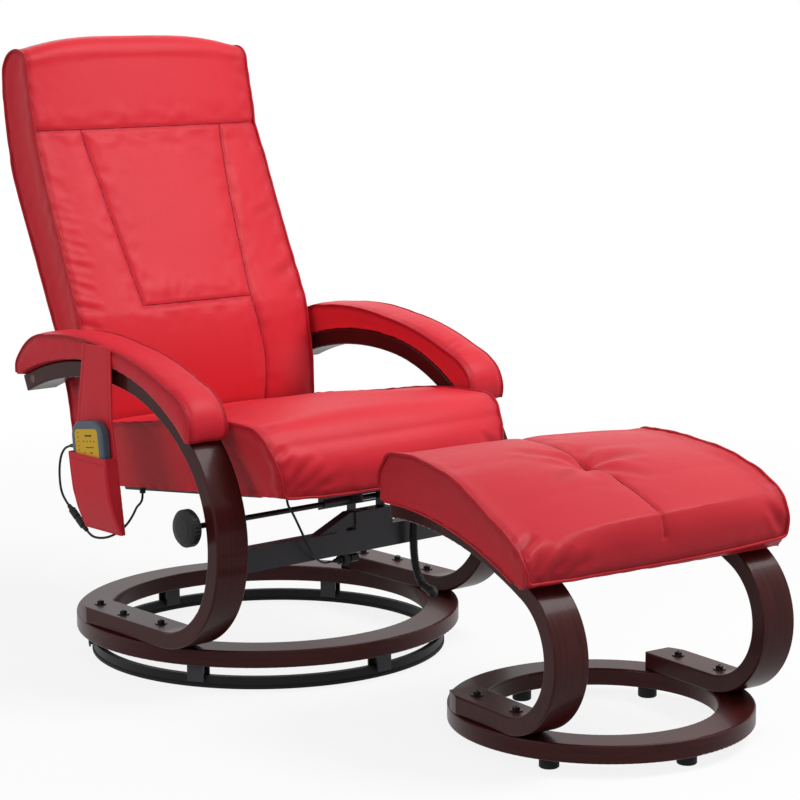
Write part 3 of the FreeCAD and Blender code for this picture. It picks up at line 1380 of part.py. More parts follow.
stool_arcs = arc_path((size("stool_foot_start"), stool_ring_top + half_wood),
                      [(size("stool_heel_radius"), size("stool_heel_sweep")),
                       (size("stool_knee_radius"), size("stool_knee_sweep")),
                       (size("stool_top_radius"), size("stool_top_sweep"))])
stool_low_x = size("stool_leg_inner_x")
stool_high_x = stool_low_x + size("bentwood_wide")
stool_leg = bent_strip(stool_arcs, -half_wood, half_wood, stool_low_x, stool_high_x, size("stool_foot_end"))
stool_leg = stool_leg.makeFillet(size("wood_round"), long_edges(stool_leg, stool_low_x, stool_high_x))
corner = Part.makeBox(stool_high_x + 50, size("stool_foot_end") + 60, size("bentwood_thick") + 20,
                      Vector(0, 0, stool_ring_top - 10))
corner = corner.cut(Part.makeCylinder(size("stool_ring_radius"), size("bentwood_thick") + 40,
                                      Vector(0, 0, stool_ring_top - 20)))
stool_leg = stool_leg.cut(corner)
stool_leg = stool_leg.cut([Part.makeCylinder(size("foot_bolt") + size("bolt_clearance"),
                                             size("bentwood_thick") + 10,
                                             spot + Vector(0, 0, stool_ring_top - 5))
                           for spot in stool_bolt_spots[2:]])
feature("ottoman_leg_left", stool_leg, stool)
feature("ottoman_leg_right", mirrored(stool_leg), stool)

stool_bolts = []
for spot in stool_bolt_spots:
    pair = bolt_and_washer.copy()
    pair.translate(spot + Vector(0, 0, stool_ring_top + size("bentwood_thick") + size("washer_thick")))
    stool_bolts.append(pair)
feature("ottoman_bolts", Part.makeCompound(stool_bolts), stool)

rubber_foot, rubber_turn = turned_body("rubber_foot", [
    ("0", "0"), ("sizes.stool_foot_radius - 1.5", "0"), ("sizes.stool_foot_radius", "1.5"),
    ("sizes.stool_foot_radius", "sizes.stool_foot_high"), ("0", "sizes.stool_foot_high")])
doc.recompute()
foot_angles = [90.0, 90.0 - size("stool_foot_angle"), -90.0, -90.0 - size("stool_foot_angle")]
rubber_feet = []
for angle in foot_angles:
    across, along_y = unit(angle)
    solid = rubber_foot.Shape.copy()
    solid.translate(Vector(across, along_y, 0) * size("stool_foot_circle"))
    rubber_feet.append(solid)
feature("ottoman_feet", Part.makeCompound(rubber_feet), stool)

# Bent board on the footstool's legs, and the cushion over it

top_piece, knee_piece = stool_arcs[2], stool_arcs[1]
board_inner = half_wood + size("running_gap")
board_outer = board_inner + size("stool_board_thick")
board_arc = (top_piece[0], top_piece[1], top_piece[2] - size("stool_board_front"),
             top_piece[3] + size("stool_board_rear"))
stool_board = bent_strip([board_arc], board_inner, board_outer,
                         -size("stool_board_half"), size("stool_board_half"))
feature("ottoman_board", stool_board, stool)
nose = on_arc(knee_piece, top_piece[2] + 5.0, board_inner)
heel = on_arc(top_piece, top_piece[3], board_inner)
stool_knots = [
    (*heel, 0, 0), (*on_arc(top_piece, (top_piece[2] + top_piece[3]) / 2, board_inner), 0, 0),
    (*on_arc(top_piece, top_piece[2], board_inner), 0, 0),
    (*on_arc(knee_piece, top_piece[2] + 2.5, board_inner), 0, 0),
    (*nose, 0, 0), None,
    (-140, 288, -4, -2), (-141, 312, -13, 18),
    (-119, 340, -25, 24), (-92, 360, -8, 22),
    (-48, 383, -1, 15), (13, 407, 0, 9),
    (76, 418, 0, 6), (130, 424, 0, 4),
    (184, 424, 0, 3), (210, 420, 2, 3),
    (228, 404, 4, 3), (238, 388, 6, 2),
    (239, 366, 6, 0), None]
stool_pad = crowned(stool_knots, 0.0, lambda z: size("stool_half"), SHARES, 2.5)
board_room_arc = (board_arc[0], board_arc[1], board_arc[2] + 0.04, board_arc[3] - 0.04)
board_room = bent_strip([board_room_arc], board_inner - 1.0, board_outer + gap,
                        -size("stool_board_half") - gap, size("stool_board_half") + gap)
stool_pad = stool_pad.cut(board_room)
tuft_centre = Vector(size("tuft_x"), size("tuft_y"),
                     size("tuft_top") - size("tuft_deep") + size("tuft_sphere"))
stool_pad = stool_pad.cut(Part.makeSphere(size("tuft_sphere"), tuft_centre))
feature("ottoman_cushion", stool_pad, stool)

# Checks before anything is written

doc.recompute()
for item in doc.Objects:
    if "Invalid" in item.State or "Error" in item.State:
        raise RuntimeError("failed object: %s" % item.Label)
labels = [item.Label for item in NODES]
if len(set(labels)) != len(labels):
    raise RuntimeError("two sub-parts have one name")
for item in NODES:
    if item.Shape.isNull() or not item.Shape.isValid():
        raise RuntimeError("bad shape: %s" % item.Label)

os.makedirs("parts", exist_ok=True)
for item in NODES:
    item.Shape.exportStep(os.path.join("parts", item.Label + ".step"))

whole = FreeCAD.BoundBox()
for item in NODES:
    whole.add(item.Shape.BoundBox)
print("sub-parts %d, box %.1f %.1f %.1f to %.1f %.1f %.1f"
      % (len(NODES), whole.XMin, whole.YMin, whole.ZMin, whole.XMax, whole.YMax, whole.ZMax))
print("recline pivot y %.2f z %.2f" % (pivot_y, pivot_z))
print("seat slide angle %.3f travel %.3f ratio %.6f m/rad" % (slide_angle, slide_travel, slide_ratio / 1000))
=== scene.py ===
import math

import bmesh
import bpy
import numpy as np
from mathutils import Matrix, Vector, noise
from mathutils.bvhtree import BVHTree
from mathutils.kdtree import KDTree


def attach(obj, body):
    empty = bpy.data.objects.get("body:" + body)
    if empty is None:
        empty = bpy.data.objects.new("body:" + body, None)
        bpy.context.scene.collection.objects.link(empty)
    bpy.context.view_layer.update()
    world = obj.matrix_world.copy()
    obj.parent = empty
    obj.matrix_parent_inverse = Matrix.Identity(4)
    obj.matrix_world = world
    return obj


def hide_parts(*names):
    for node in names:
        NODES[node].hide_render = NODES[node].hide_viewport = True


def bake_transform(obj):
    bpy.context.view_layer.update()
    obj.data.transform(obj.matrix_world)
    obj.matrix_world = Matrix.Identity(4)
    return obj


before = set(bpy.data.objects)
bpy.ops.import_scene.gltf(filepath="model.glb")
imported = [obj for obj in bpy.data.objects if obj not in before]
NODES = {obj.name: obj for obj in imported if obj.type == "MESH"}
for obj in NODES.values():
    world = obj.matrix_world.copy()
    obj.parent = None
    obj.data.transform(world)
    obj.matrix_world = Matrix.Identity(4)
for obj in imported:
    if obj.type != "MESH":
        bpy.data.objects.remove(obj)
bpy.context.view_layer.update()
MM = 0.001

# Camera, fitted until the three rings fell on their ellipses in the photograph

EYE = Vector((-2.4730, -3.2439, 1.0839))
YAW, PITCH, ROLL = 0.708, 0.161, -0.007
FOCAL_PIXELS, IMAGE_PIXELS, SENSOR = 2409.44, 800, 36.0

forward = Vector((math.sin(YAW) * math.cos(PITCH), math.cos(YAW) * math.cos(PITCH), -math.sin(PITCH)))
level = Vector((math.cos(YAW), -math.sin(YAW), 0))
rising = level.cross(forward)
cam_right = level * math.cos(ROLL) + rising * math.sin(ROLL)
cam_up = -level * math.sin(ROLL) + rising * math.cos(ROLL)
camera = bpy.data.objects.new("camera", bpy.data.cameras.new("camera"))
bpy.context.collection.objects.link(camera)
camera.data.sensor_width = SENSOR
camera.data.lens = FOCAL_PIXELS * SENSOR / IMAGE_PIXELS
camera.data.clip_start, camera.data.clip_end = 0.1, 60
camera.matrix_world = Matrix.Translation(EYE) @ Matrix((cam_right, cam_up, -forward)).transposed().to_4x4()
bpy.context.scene.camera = camera

# Materials


class Shader:
    """The node tree of a material or of the world, built a node at a time."""

    def __init__(self, owner):
        owner.use_nodes = True
        self.owner = owner
        self.tree = owner.node_tree
        self.bsdf = self.tree.nodes.get("Principled BSDF")

    def node(self, kind, settings=None, **inputs):
        made = self.tree.nodes.new("ShaderNode" + kind)
        for key, value in (settings or {}).items():
            setattr(made, key, value)
        self.put(made, **inputs)
        return made

    def feed(self, socket, value):
        """Links another node's output to the socket, or sets a plain value."""
        if isinstance(value, bpy.types.NodeSocket):
            self.tree.links.new(value, socket)
        else:
            socket.default_value = value

    def put(self, target, **inputs):
        for key, value in inputs.items():
            self.feed(target.inputs[key.replace("_", " ")], value)

    def finish(self, **inputs):
        self.put(self.bsdf, **inputs)
        return self.owner

    def place(self, stretch=(1, 1, 1)):
        coordinates = self.node("TexCoord")
        return self.node("Mapping", Vector=coordinates.outputs["Object"], Scale=stretch).outputs["Vector"]

    def noise(self, vector, scale, detail=3.0, roughness=0.5):
        made = self.node("TexNoise", Vector=vector, Scale=scale, Detail=detail, Roughness=roughness)
        return made.outputs["Fac"]

    def ramp(self, factor, stops):
        made = self.node("ValToRGB", Fac=factor)
        band = made.color_ramp.elements
        while len(band) < len(stops):
            band.new(0.5)
        for element, (at, colour) in zip(band, stops):
            element.position = at
            element.color = (*colour, 1)
        return made.outputs["Color"]

    def mix(self, factor, a, b):
        """A blend of two colours, whose sockets are numbers 6 and 7, and 2 for the result."""
        made = self.node("Mix", {"data_type": "RGBA"}, Factor=factor)
        for socket, value in ((made.inputs[6], a), (made.inputs[7], b)):
            linked = isinstance(value, bpy.types.NodeSocket)
            self.feed(socket, value if linked else (*value, 1))
        return made.outputs[2]

    def math(self, operation, a, b=0.0):
        made = self.node("Math", {"operation": operation})
        for socket, value in zip(made.inputs, (a, b)):
            self.feed(socket, value)
        return made.outputs[0]

    def span(self, factor, low, high):
        return self.node("MapRange", Value=factor, To_Min=low, To_Max=high).outputs["Result"]

    def bump(self, height, distance, strength, under=None):
        made = self.node("Bump", Height=height, Distance=distance, Strength=strength)
        if under is not None:
            self.put(made, Normal=under)
        return made.outputs["Normal"]

    def background_rays(self, rays):
        """One for the camera's, a gloss's and a glass's rays, which meet plain white."""
        share = self.math("MAXIMUM", rays["Is Camera Ray"], rays["Is Glossy Ray"])
        return self.math("MAXIMUM", share, rays["Is Transmission Ray"])

    def blend_out(self, share, near, far, output):
        """Sends the blend of two shaders to the tree's output."""
        blend = self.node("MixShader", Fac=share)
        self.tree.links.new(near.outputs[0], blend.inputs[1])
        self.tree.links.new(far.outputs[0], blend.inputs[2])
        self.tree.links.new(blend.outputs[0], self.tree.nodes[output].inputs["Surface"])


def leather(name, lit, deep):
    """Grained faux leather, darkened towards its deep tone by the painted shade that the attribute called
    crease holds.
    """
    s = Shader(bpy.data.materials.new(name))
    here = s.place()
    pebbles = s.node("TexVoronoi", Vector=here, Scale=760.0).outputs["Distance"]
    broad = s.noise(here, scale=9.0, detail=2.0)
    fine = s.noise(here, scale=95.0, detail=4.0, roughness=0.6)
    tone = s.mix(s.span(broad, low=0.0, high=0.16), lit, deep)
    tone = s.mix(s.span(fine, low=0.0, high=0.06), tone, deep)
    # The attribute holds painted shade for the seams, rims, hems and creases
    crease = s.node("Attribute", {"attribute_name": "crease"}).outputs["Fac"]
    tone = s.mix(crease, tone, deep)
    soft = s.bump(fine, distance=0.0004, strength=0.3)
    grain = s.bump(pebbles, distance=0.00018, strength=0.35, under=soft)
    return s.finish(Base_Color=tone, Roughness=s.span(fine, low=0.40, high=0.50), Normal=grain,
                    Specular_IOR_Level=0.16)


# Streaks of the grain in a metre across and along a bend, and the ring's in a radian and a metre up
ACROSS_GRAIN, ALONG_GRAIN, ROUND_RING, UP_RING = 240.0, 7.0, 2.2, 160.0


def bentwood(name, dark, light, ring_centre=None):
    """Stained, lacquered wood whose grain runs along the bend, or round a ring."""
    s = Shader(bpy.data.materials.new(name))
    if ring_centre is None:
        streaks_at = s.place((ACROSS_GRAIN, ALONG_GRAIN, ALONG_GRAIN))
    else:
        at = s.node("SeparateXYZ", Vector=s.place())
        dx = s.math("SUBTRACT", at.outputs["X"], ring_centre[0])
        dy = s.math("SUBTRACT", at.outputs["Y"], ring_centre[1])
        radius = s.math("SQRT", s.math("ADD", s.math("MULTIPLY", dx, dx), s.math("MULTIPLY", dy, dy)))
        turned = s.node("CombineXYZ", X=s.math("MULTIPLY", radius, ACROSS_GRAIN),
                        Y=s.math("MULTIPLY", s.math("ARCTAN2", dy, dx), ROUND_RING),
                        Z=s.math("MULTIPLY", at.outputs["Z"], UP_RING))
        streaks_at = turned.outputs["Vector"]
    streaks = s.noise(streaks_at, scale=1.0, detail=5.0, roughness=0.62)
    pores = s.noise(s.place(stretch=(900, 60, 60)), scale=1.0, detail=2.0)
    clouds = s.noise(s.place(), scale=14.0, detail=2.0)
    tone = s.ramp(streaks, [(0.25, dark), (0.80, light)])
    tone = s.mix(s.span(clouds, low=0.0, high=0.6), tone, dark)
    pitted = s.bump(pores, distance=0.0001, strength=0.12)
    relief = s.bump(streaks, distance=0.00012, strength=0.25, under=pitted)
    return s.finish(Base_Color=tone, Roughness=s.span(streaks, low=0.30, high=0.38), Normal=relief,
                    Coat_Weight=0.12, Coat_Roughness=0.12, Specular_IOR_Level=0.1)


def plain(name, colour, rough, metallic=0.0, grain=320.0, depth=0.00012, coat=0.0, other=None):
    """Moulded plastic, rubber or coated metal, with a fine texture and some variation."""
    s = Shader(bpy.data.materials.new(name))
    here = s.place()
    broad = s.noise(here, scale=22.0)
    fine = s.noise(here, scale=grain, roughness=0.6)
    darker = [c * (1 - TONE_SPREAD) for c in colour]
    tone = s.mix(s.span(broad, low=0.0, high=0.5), colour, other or darker)
    worn = s.span(broad, low=rough - 0.05, high=rough + 0.06)
    return s.finish(Base_Color=tone, Metallic=metallic, Roughness=worn,
                    Normal=s.bump(fine, distance=depth, strength=0.4), Coat_Weight=coat,
                    Specular_IOR_Level=0.2)


RED_LIT, RED_DEEP = (0.80, 0.034, 0.052), (0.34, 0.006, 0.017)
# The footstool's leather is a darker copy of the chair's, painted shade for the lesser light that falls on it
STOOL_SHADED_LIT, STOOL_SHADED_DEEP = (0.64, 0.030, 0.044), (0.28, 0.005, 0.014)
# The piping's leather is a darker copy of the cushions', painted shade for its shadowed, outward-facing sides
PIPING_SHADED_LIT, PIPING_SHADED_DEEP = (0.54, 0.016, 0.028), (0.24, 0.004, 0.011)
WOOD_DARK, WOOD_LIGHT = (0.034, 0.0045, 0.0045), (0.088, 0.015, 0.0135)
TONE_SPREAD = 0.12
STOOL_MIDDLE = (0.0548, -0.7545)
CLOTH = "red_leathercloth"
LEATHER = leather(CLOTH, RED_LIT, RED_DEEP)
STOOL_LEATHER_SHADED = leather("red_leathercloth_stool_shaded", STOOL_SHADED_LIT, STOOL_SHADED_DEEP)
PIPING_SHADED = leather("red_leathercloth_piping_shaded", PIPING_SHADED_LIT, PIPING_SHADED_DEEP)
THREAD = plain("seam_thread", (0.20, 0.004, 0.014), 0.75, grain=900.0)
WOOD = bentwood("stained_bentwood", WOOD_DARK, WOOD_LIGHT)
CHAIR_RING_WOOD = bentwood("stained_bentwood_ring", WOOD_DARK, WOOD_LIGHT, (0, 0))
STOOL_RING_WOOD = bentwood("stained_bentwood_stool_ring", WOOD_DARK, WOOD_LIGHT, STOOL_MIDDLE)
LOOKS = {
    "plywood": dict(colour=(0.55, 0.40, 0.24), rough=0.6, grain=140.0, other=(0.42, 0.28, 0.15)),
    "black_steel": dict(colour=(0.054, 0.055, 0.061), rough=0.38, metallic=0.2, grain=500.0),
    "black_track": dict(colour=(0.006, 0.006, 0.007), rough=0.5, grain=500.0),
    "black_zinc": dict(colour=(0.022, 0.021, 0.022), rough=0.32, metallic=0.6, grain=600.0),
    "bright_zinc": dict(colour=(0.62, 0.62, 0.63), rough=0.3, metallic=1.0, grain=500.0),
    "black_rubber": dict(colour=(0.009, 0.009, 0.010), rough=0.62, grain=420.0),
    "black_plastic": dict(colour=(0.014, 0.014, 0.016), rough=0.42, grain=700.0, depth=0.0002),
    "lead_sheath": dict(colour=(0.012, 0.012, 0.013), rough=0.4, grain=600.0),
    "nylon": dict(colour=(0.05, 0.05, 0.052), rough=0.45),
    "remote_grey": dict(colour=(0.115, 0.155, 0.195), rough=0.36, grain=800.0, depth=0.00008),
    "remote_yellow": dict(colour=(0.86, 0.52, 0.03), rough=0.4, grain=500.0, depth=0.00004),
    "mark_black": dict(colour=(0.10, 0.07, 0.02), rough=0.5),
    "key_grey": dict(colour=(0.16, 0.20, 0.24), rough=0.4),
    "circuit_green": dict(colour=(0.03, 0.16, 0.07), rough=0.4),
    "motor_can": dict(colour=(0.35, 0.35, 0.36), rough=0.35, metallic=1.0),
    "heater_cloth": dict(colour=(0.62, 0.60, 0.55), rough=0.8),
    "cap_brown": dict(colour=(0.12, 0.036, 0.028), rough=0.34, grain=500.0, coat=0.3),
}
FINISHES = {name: plain(name, **look) for name, look in LOOKS.items()}


def dress(piece, material):
    piece.data.materials.clear()
    piece.data.materials.append(material)


def smooth(mesh):
    mesh.polygons.foreach_set("use_smooth", [True] * len(mesh.polygons))


# Helpers for meshes


def new_piece(name, mesh, body, material):
    piece = bpy.data.objects.new(name, mesh)
    bpy.context.collection.objects.link(piece)
    dress(piece, material)
    if body is not None:
        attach(piece, body)
    return piece


def arc_points(a, m, b, step):
    """Points from a up to b, without b, on the arc through m, or straight if m is None."""
    a, b = Vector(a), Vector(b)
    if m is None:
        count = max(1, round((b - a).length / step))
        return [a.lerp(b, i / count) for i in range(count)]
    m = Vector(m)
    d = 2 * (a.x * (m.y - b.y) + m.x * (b.y - a.y) + b.x * (a.y - m.y))
    count = max(2, round(((m - a).length + (b - m).length) / step))
    if abs(d) < 1e-6 * (b - a).length ** 2:
        return [a.lerp(b, i / count) for i in range(count)]
    aa, mm, bb = a.length_squared, m.length_squared, b.length_squared
    centre = Vector(((aa * (m.y - b.y) + mm * (b.y - a.y) + bb * (a.y - m.y)) / d,
                     (aa * (b.x - m.x) + mm * (a.x - b.x) + bb * (m.x - a.x)) / d))
    start = math.atan2(a.y - centre.y, a.x - centre.x)
    turn = (math.atan2(b.y - centre.y, b.x - centre.x) - start) % (2 * math.pi)
    to_middle = (math.atan2(m.y - centre.y, m.x - centre.x) - start) % (2 * math.pi)
    if to_middle > turn:
        turn -= 2 * math.pi
    radius = (a - centre).length
    angles = [start + turn * i / count for i in range(count)]
    return [centre + radius * Vector((math.cos(angle), math.sin(angle))) for angle in angles]


def level_lift(share, y, z):
    """No lift: the cushion is alike on both sides."""
    return 0.0


CROWN = 2.5


def crowned(name, knots, half_at, centre_x=0.0, turn=None, shares=41, step=9.0, power=CROWN, lift=level_lift):
    """A closed cushion, lofted across its width like its solid in the CAD model."""
    mesh = bpy.data.meshes.new(name)
    rings = []
    per_arc = full_counts(knots, step)
    counts = sum(per_arc)
    for j in range(shares):
        share = math.sin((j / (shares - 1) - 0.5) * math.pi)
        points = outline_counted(knots, 1 - abs(share) ** power, per_arc)
        rings.append([(centre_x + share * half_at(z), y, z + lift(share, y, z)) for y, z in points])
    verts = [Vector(p) * MM for ring in rings for p in ring]
    if turn is not None:
        verts = [turn @ v for v in verts]
    faces = []
    for j in range(shares - 1):
        for i in range(counts):
            k = (i + 1) % counts
            faces.append((j * counts + i, j * counts + k, (j + 1) * counts + k, (j + 1) * counts + i))
    faces.append(tuple(reversed(range(counts))))
    faces.append(tuple((shares - 1) * counts + i for i in range(counts)))
    mesh.from_pydata(verts, [], faces)
    work = bmesh.new()
    work.from_mesh(mesh)
    bmesh.ops.recalc_face_normals(work, faces=work.faces)
    work.to_mesh(mesh)
    work.free()
    return mesh


def full_counts(knots, step):
    """How many points each arc gets, from the outline at the middle of the width."""
    counts = []
    for i in range(0, len(knots), 2):
        a, m, b = knots[i], knots[i + 1], knots[(i + 2) % len(knots)]
        ends = [(k[0] + k[2], k[1] + k[3]) if k is not None else None for k in (a, m, b)]
        counts.append(len(arc_points(ends[0], ends[1], ends[2], step)))
    return counts


def outline_counted(knots, swell, counts):
    """The outline at one swell, with a fixed number of points on each arc."""
    moved = [None if k is None else (k[0] + k[2] * swell, k[1] + k[3] * swell) for k in knots]
    points = []
    for i, count in zip(range(0, len(knots), 2), counts):
        a, m, b = moved[i], moved[i + 1], moved[(i + 2) % len(moved)]
        dense = arc_points(a, m, b, 1.0) + [Vector(b)]
        for n in range(count):
            at = n / count * (len(dense) - 1)
            low = int(at)
            points.append(dense[low].lerp(dense[min(low + 1, len(dense) - 1)], at - low))
    return points


TUBE_EDGE = 60


def tube(name, points, radius, body, material, sides=12, closed=False):
    """A round tube along points, whose rings don't twist."""
    count = len(points)
    tangents = []
    for i in range(count):
        before = points[i - 1] if closed or i > 0 else points[i]
        after = points[(i + 1) % count] if closed or i < count - 1 else points[i]
        tangents.append((after - before).normalized())
    side = tangents[0].orthogonal().normalized()
    verts, faces = [], []
    for point, tangent in zip(points, tangents):
        side = (side - tangent * side.dot(tangent)).normalized()
        other = tangent.cross(side)
        for k in range(sides):
            angle = 2 * math.pi * k / sides
            verts.append(point + (side * math.cos(angle) + other * math.sin(angle)) * radius)
    shift = 0
    if closed:
        first, last_ring = verts[0] - points[0], (count - 1) * sides
        shift = min(range(sides), key=lambda k: (verts[last_ring + k] - points[-1] - first).length)
    for i in range(count if closed else count - 1):
        here, after = i * sides, (i + 1) % count * sides
        extra = shift if closed and i == count - 1 else 0
        for k in range(sides):
            n = (k + 1) % sides
            faces.append((here + (k + extra) % sides, here + (n + extra) % sides, after + n, after + k))
    if not closed:
        faces.append(tuple(reversed(range(sides))))
        faces.append(tuple((count - 1) * sides + k for k in range(sides)))
    mesh = bpy.data.meshes.new(name)
    mesh.from_pydata(verts, [], faces)
    mesh.validate()
    smooth(mesh)
    mesh.set_sharp_from_angle(angle=math.radians(TUBE_EDGE))
    return new_piece(name, mesh, body, material)


def resampled(points, step, closed=False):
    """The same line with even steps."""
    points = [Vector(p) for p in points]
    if closed:
        points.append(points[0])
    lengths = [0.0]
    for a, b in zip(points, points[1:]):
        lengths.append(lengths[-1] + (b - a).length)
    count = max(2, round(lengths[-1] / step))
    found, at = [], 0
    for n in range(count + (0 if closed else 1)):
        wanted = lengths[-1] * n / count
        while at < len(points) - 2 and lengths[at + 1] < wanted:
            at += 1
        part = (wanted - lengths[at]) / max(lengths[at + 1] - lengths[at], 1e-9)
        found.append(points[at].lerp(points[at + 1], min(1.0, part)))
    return found


def rounded(points, passes=3, closed=False):
    """Takes the corners off a line."""
    for _ in range(passes):
        fresh = []
        count = len(points)
        for i in range(count):
            if not closed and i in (0, count - 1):
                fresh.append(points[i])
            else:
                fresh.append((points[i - 1] + points[i] * 2 + points[(i + 1) % count]) / 4)
        points = fresh
    return points


def tree_of(mesh):
    return BVHTree.FromPolygons([v.co for v in mesh.vertices], [p.vertices for p in mesh.polygons])


def on_surface(mesh, starts, direction, sink=0.0):
    """Where rays from the starts meet the mesh, sunk a little below its face."""
    tree = tree_of(mesh)
    found = []
    for start in starts:
        hit, normal, _, _ = tree.ray_cast(start, direction)
        if hit is not None:
            found.append(hit - normal * sink)
    return found


# The cushions' shapes: knots are in turn an arc's end and its middle, None where the outline runs straight.
# A knot is y and z at the cushion's sides, and how far both move up to the middle of its width, in mm.

BACK = [(217, 354, 3, 0), None, (183, 354, -2, 0), (180, 455, -20, 0), (198, 570, -24, 0),
        (257, 700, -22, 0), (319, 850, -20, 0), (340, 927, -18, 3), (352, 989, -10, 14),
        (357, 1008, -6, 23), (372, 1017, 0, 27), (410, 1010, 4, 23), (428, 968, 8, 4), (413, 858, 9, 0),
        (374, 750, 9, 0), (312, 625, 8, 0), (262, 520, 7, 0), (234, 440, 5, 0)]
SEAT = [(166, 279, 0, 0), None, (-338, 334, -18, -6), (-342, 378, -26, 0), (-327, 412, -22, 4),
        (-312, 433, -16, 10), (-286, 443, -4, 15), (-170, 440, 0, 18), (-60, 424, 0, 17), (50, 407, 0, 11),
        (166, 391, 0, 3), None]
PAD = [(-225.5, 414.6, 0, 0), None, (-238, 420, 0, 0), (-237, 456, -5, 1), (-213, 484, -5, 7),
       (-196, 494, -3, 9), (-176, 501, -1, 10), (-99, 529, 0, 9), (-15, 546, 0, 6), (75, 556, 0, 5),
       (160, 552, 0, 5), (216, 539, 1, 5), (252, 508, 3, 4), (263, 490, 3, 1), (262.7, 477.3, 0, 0), None,
       (260.3, 471.8, 0, 0), (117.7, 512.2, 0, 0), (-30.5, 511.7, 0, 0), (-128.4, 482.4, 0, 0),
       (-213.5, 426.1, 0, 0), (-219.6, 420.5, 0, 0)]
STOOL = [(238.6, 343.9, 0, 0), (59, 335.2, 0, 0), (-112.2, 279.8, 0, 0), (-116.9, 277.4, 0, 0),
         (-121.5, 274.8, 0, 0), None, (-140, 288, -4, -2), (-141, 312, -13, 18), (-119, 340, -25, 24),
         (-92, 360, -8, 22), (-48, 383, -1, 15), (13, 407, 0, 9), (76, 418, 0, 6), (130, 424, 0, 4),
         (184, 424, 0, 3), (210, 420, 2, 3), (228, 404, 4, 3), (238, 388, 6, 2), (239, 366, 6, 0), None]
STOOL_PLACE = Matrix.Translation((*STOOL_MIDDLE, 0)) @ Matrix.Rotation(math.radians(-7), 4, "Z")
PAD_MIDDLE, PAD_HALF, STOOL_HALF = 295.0, 37.0, 245.0


def back_half(z):
    return 248.5 - 0.0178 * (z - 352)


def seat_half(z):
    return 246 - 0.24 * (420 - z)


# How far the footstool's sides lie over or under the mean of both, by the place along its length
NEAR_LIFT = ((-141, -5), (-132, -9), (-92, -11), (-51, -14), (-3, -10), (46, -2), (97, 1), (141, 3),
             (239, 0))
FAR_LIFT = ((-141, 19), (-118, 24), (-73, 17), (-15, 6), (38, -2), (107, -7), (180, -11), (239, -8))
# The footstool's board is level behind its bend, and the lift fades in above it
BOARD_TOP, BOARD_BEND, BOARD_LEVEL_FROM = 343.0, 0.00067, 190
LIFT_FROM, LIFT_OVER = 6, 32


def stool_lift(share, y, z):
    """The cushion's top is low at its near front and high at its far front."""
    spots = NEAR_LIFT if share < 0 else FAR_LIFT
    amount = np.interp(y, [s[0] for s in spots], [s[1] for s in spots]) * abs(share) ** 1.5
    board = BOARD_TOP - BOARD_BEND * max(0.0, BOARD_LEVEL_FROM - y) ** 2
    return float(amount * np.clip((z - board - LIFT_FROM) / LIFT_OVER, 0, 1))


def rim(knots, half_at, share, first, last, centre_x=0.0, turn=None, step=5.0, lift=level_lift):
    """The side seam's line in metres, from knot number first to last."""
    flat = [None if k is None else (k[0], k[1]) for k in knots]
    points = []
    for i in range(first, last, 2):
        points += arc_points(flat[i], flat[i + 1], flat[(i + 2) % len(flat)], step)
    if last < len(knots):
        points.append(Vector(flat[last]))
    line = [Vector((centre_x + share * half_at(z), y, z + lift(share, y, z))) * MM for y, z in points]
    return [turn @ p for p in line] if turn is not None else line


# Swelling, creases and seams


def worked(carrier):
    """An object as its modifiers leave it."""
    return carrier.evaluated_get(bpy.context.evaluated_depsgraph_get())


def remeshed(name, mesh, voxel):
    """The mesh again with even faces."""
    carrier = bpy.data.objects.new(name + "_blank", mesh)
    bpy.context.collection.objects.link(carrier)
    work = carrier.modifiers.new("remesh", "REMESH")
    work.mode = "VOXEL"
    work.voxel_size = voxel
    done = bpy.data.meshes.new_from_object(worked(carrier))
    bpy.data.objects.remove(carrier)
    done.name = name
    return done


def vertex_rows(mesh, kind):
    values = np.empty(len(mesh.vertices) * 3, dtype=np.float64)
    mesh.vertices.foreach_get(kind, values)
    return values.reshape(-1, 3)


def coordinates(mesh):
    return vertex_rows(mesh, "co")


def normals(mesh):
    return vertex_rows(mesh, "normal")


def place_vertices(mesh, where):
    mesh.vertices.foreach_set("co", where.astype(np.float32).ravel())
    mesh.update()


def samples_of(lines, step):
    """A search tree over points along the lines."""
    samples = [p for line in lines for p in resampled(line, step)]
    tree = KDTree(len(samples))
    for i, sample in enumerate(samples):
        tree.insert(sample, i)
    tree.balance()
    return tree


def distances(where, lines):
    """Distance of each place to the nearest line, or a metre where there is none."""
    if not lines:
        return np.full(len(where), 1.0)
    tree = samples_of(lines, 0.002)
    return np.array([tree.find(Vector(p))[2] for p in where])


def bell(away, width):
    """One at no distance, fading over the width."""
    return np.exp(-(away / width) ** 2)


def noise_at(places):
    return np.array([noise.noise(Vector(p)) for p in places])


def nearest_on(mesh, places):
    """The nearest places on a mesh, with its normals there."""
    tree = tree_of(mesh)
    found = [tree.find_nearest(Vector(p)) for p in places]
    return [f[0] for f in found], [f[1] for f in found]


def settle(mesh, original, lines, reach):
    """Puts an even mesh back on the loft, and its vertices near an edge onto that edge."""
    where, _ = nearest_on(original, coordinates(mesh))
    tree = samples_of(lines, 0.001)
    for i, place in enumerate(where):
        spot, _, apart = tree.find(place)
        if apart < reach:
            where[i] = spot
    place_vertices(mesh, np.array([tuple(p) for p in where]))


cushions = []
# Shares of a voxel within which a vertex goes onto an edge, and stays put on a rim
ONTO_EDGE, ON_RIM = 0.6, 0.7
# How far from its rims a cushion is first drawn in, and how soon a face counts as a side
INSET_REACH, SIDE_GAIN = 0.02, 1.25
CLOTH_STEPS = 20


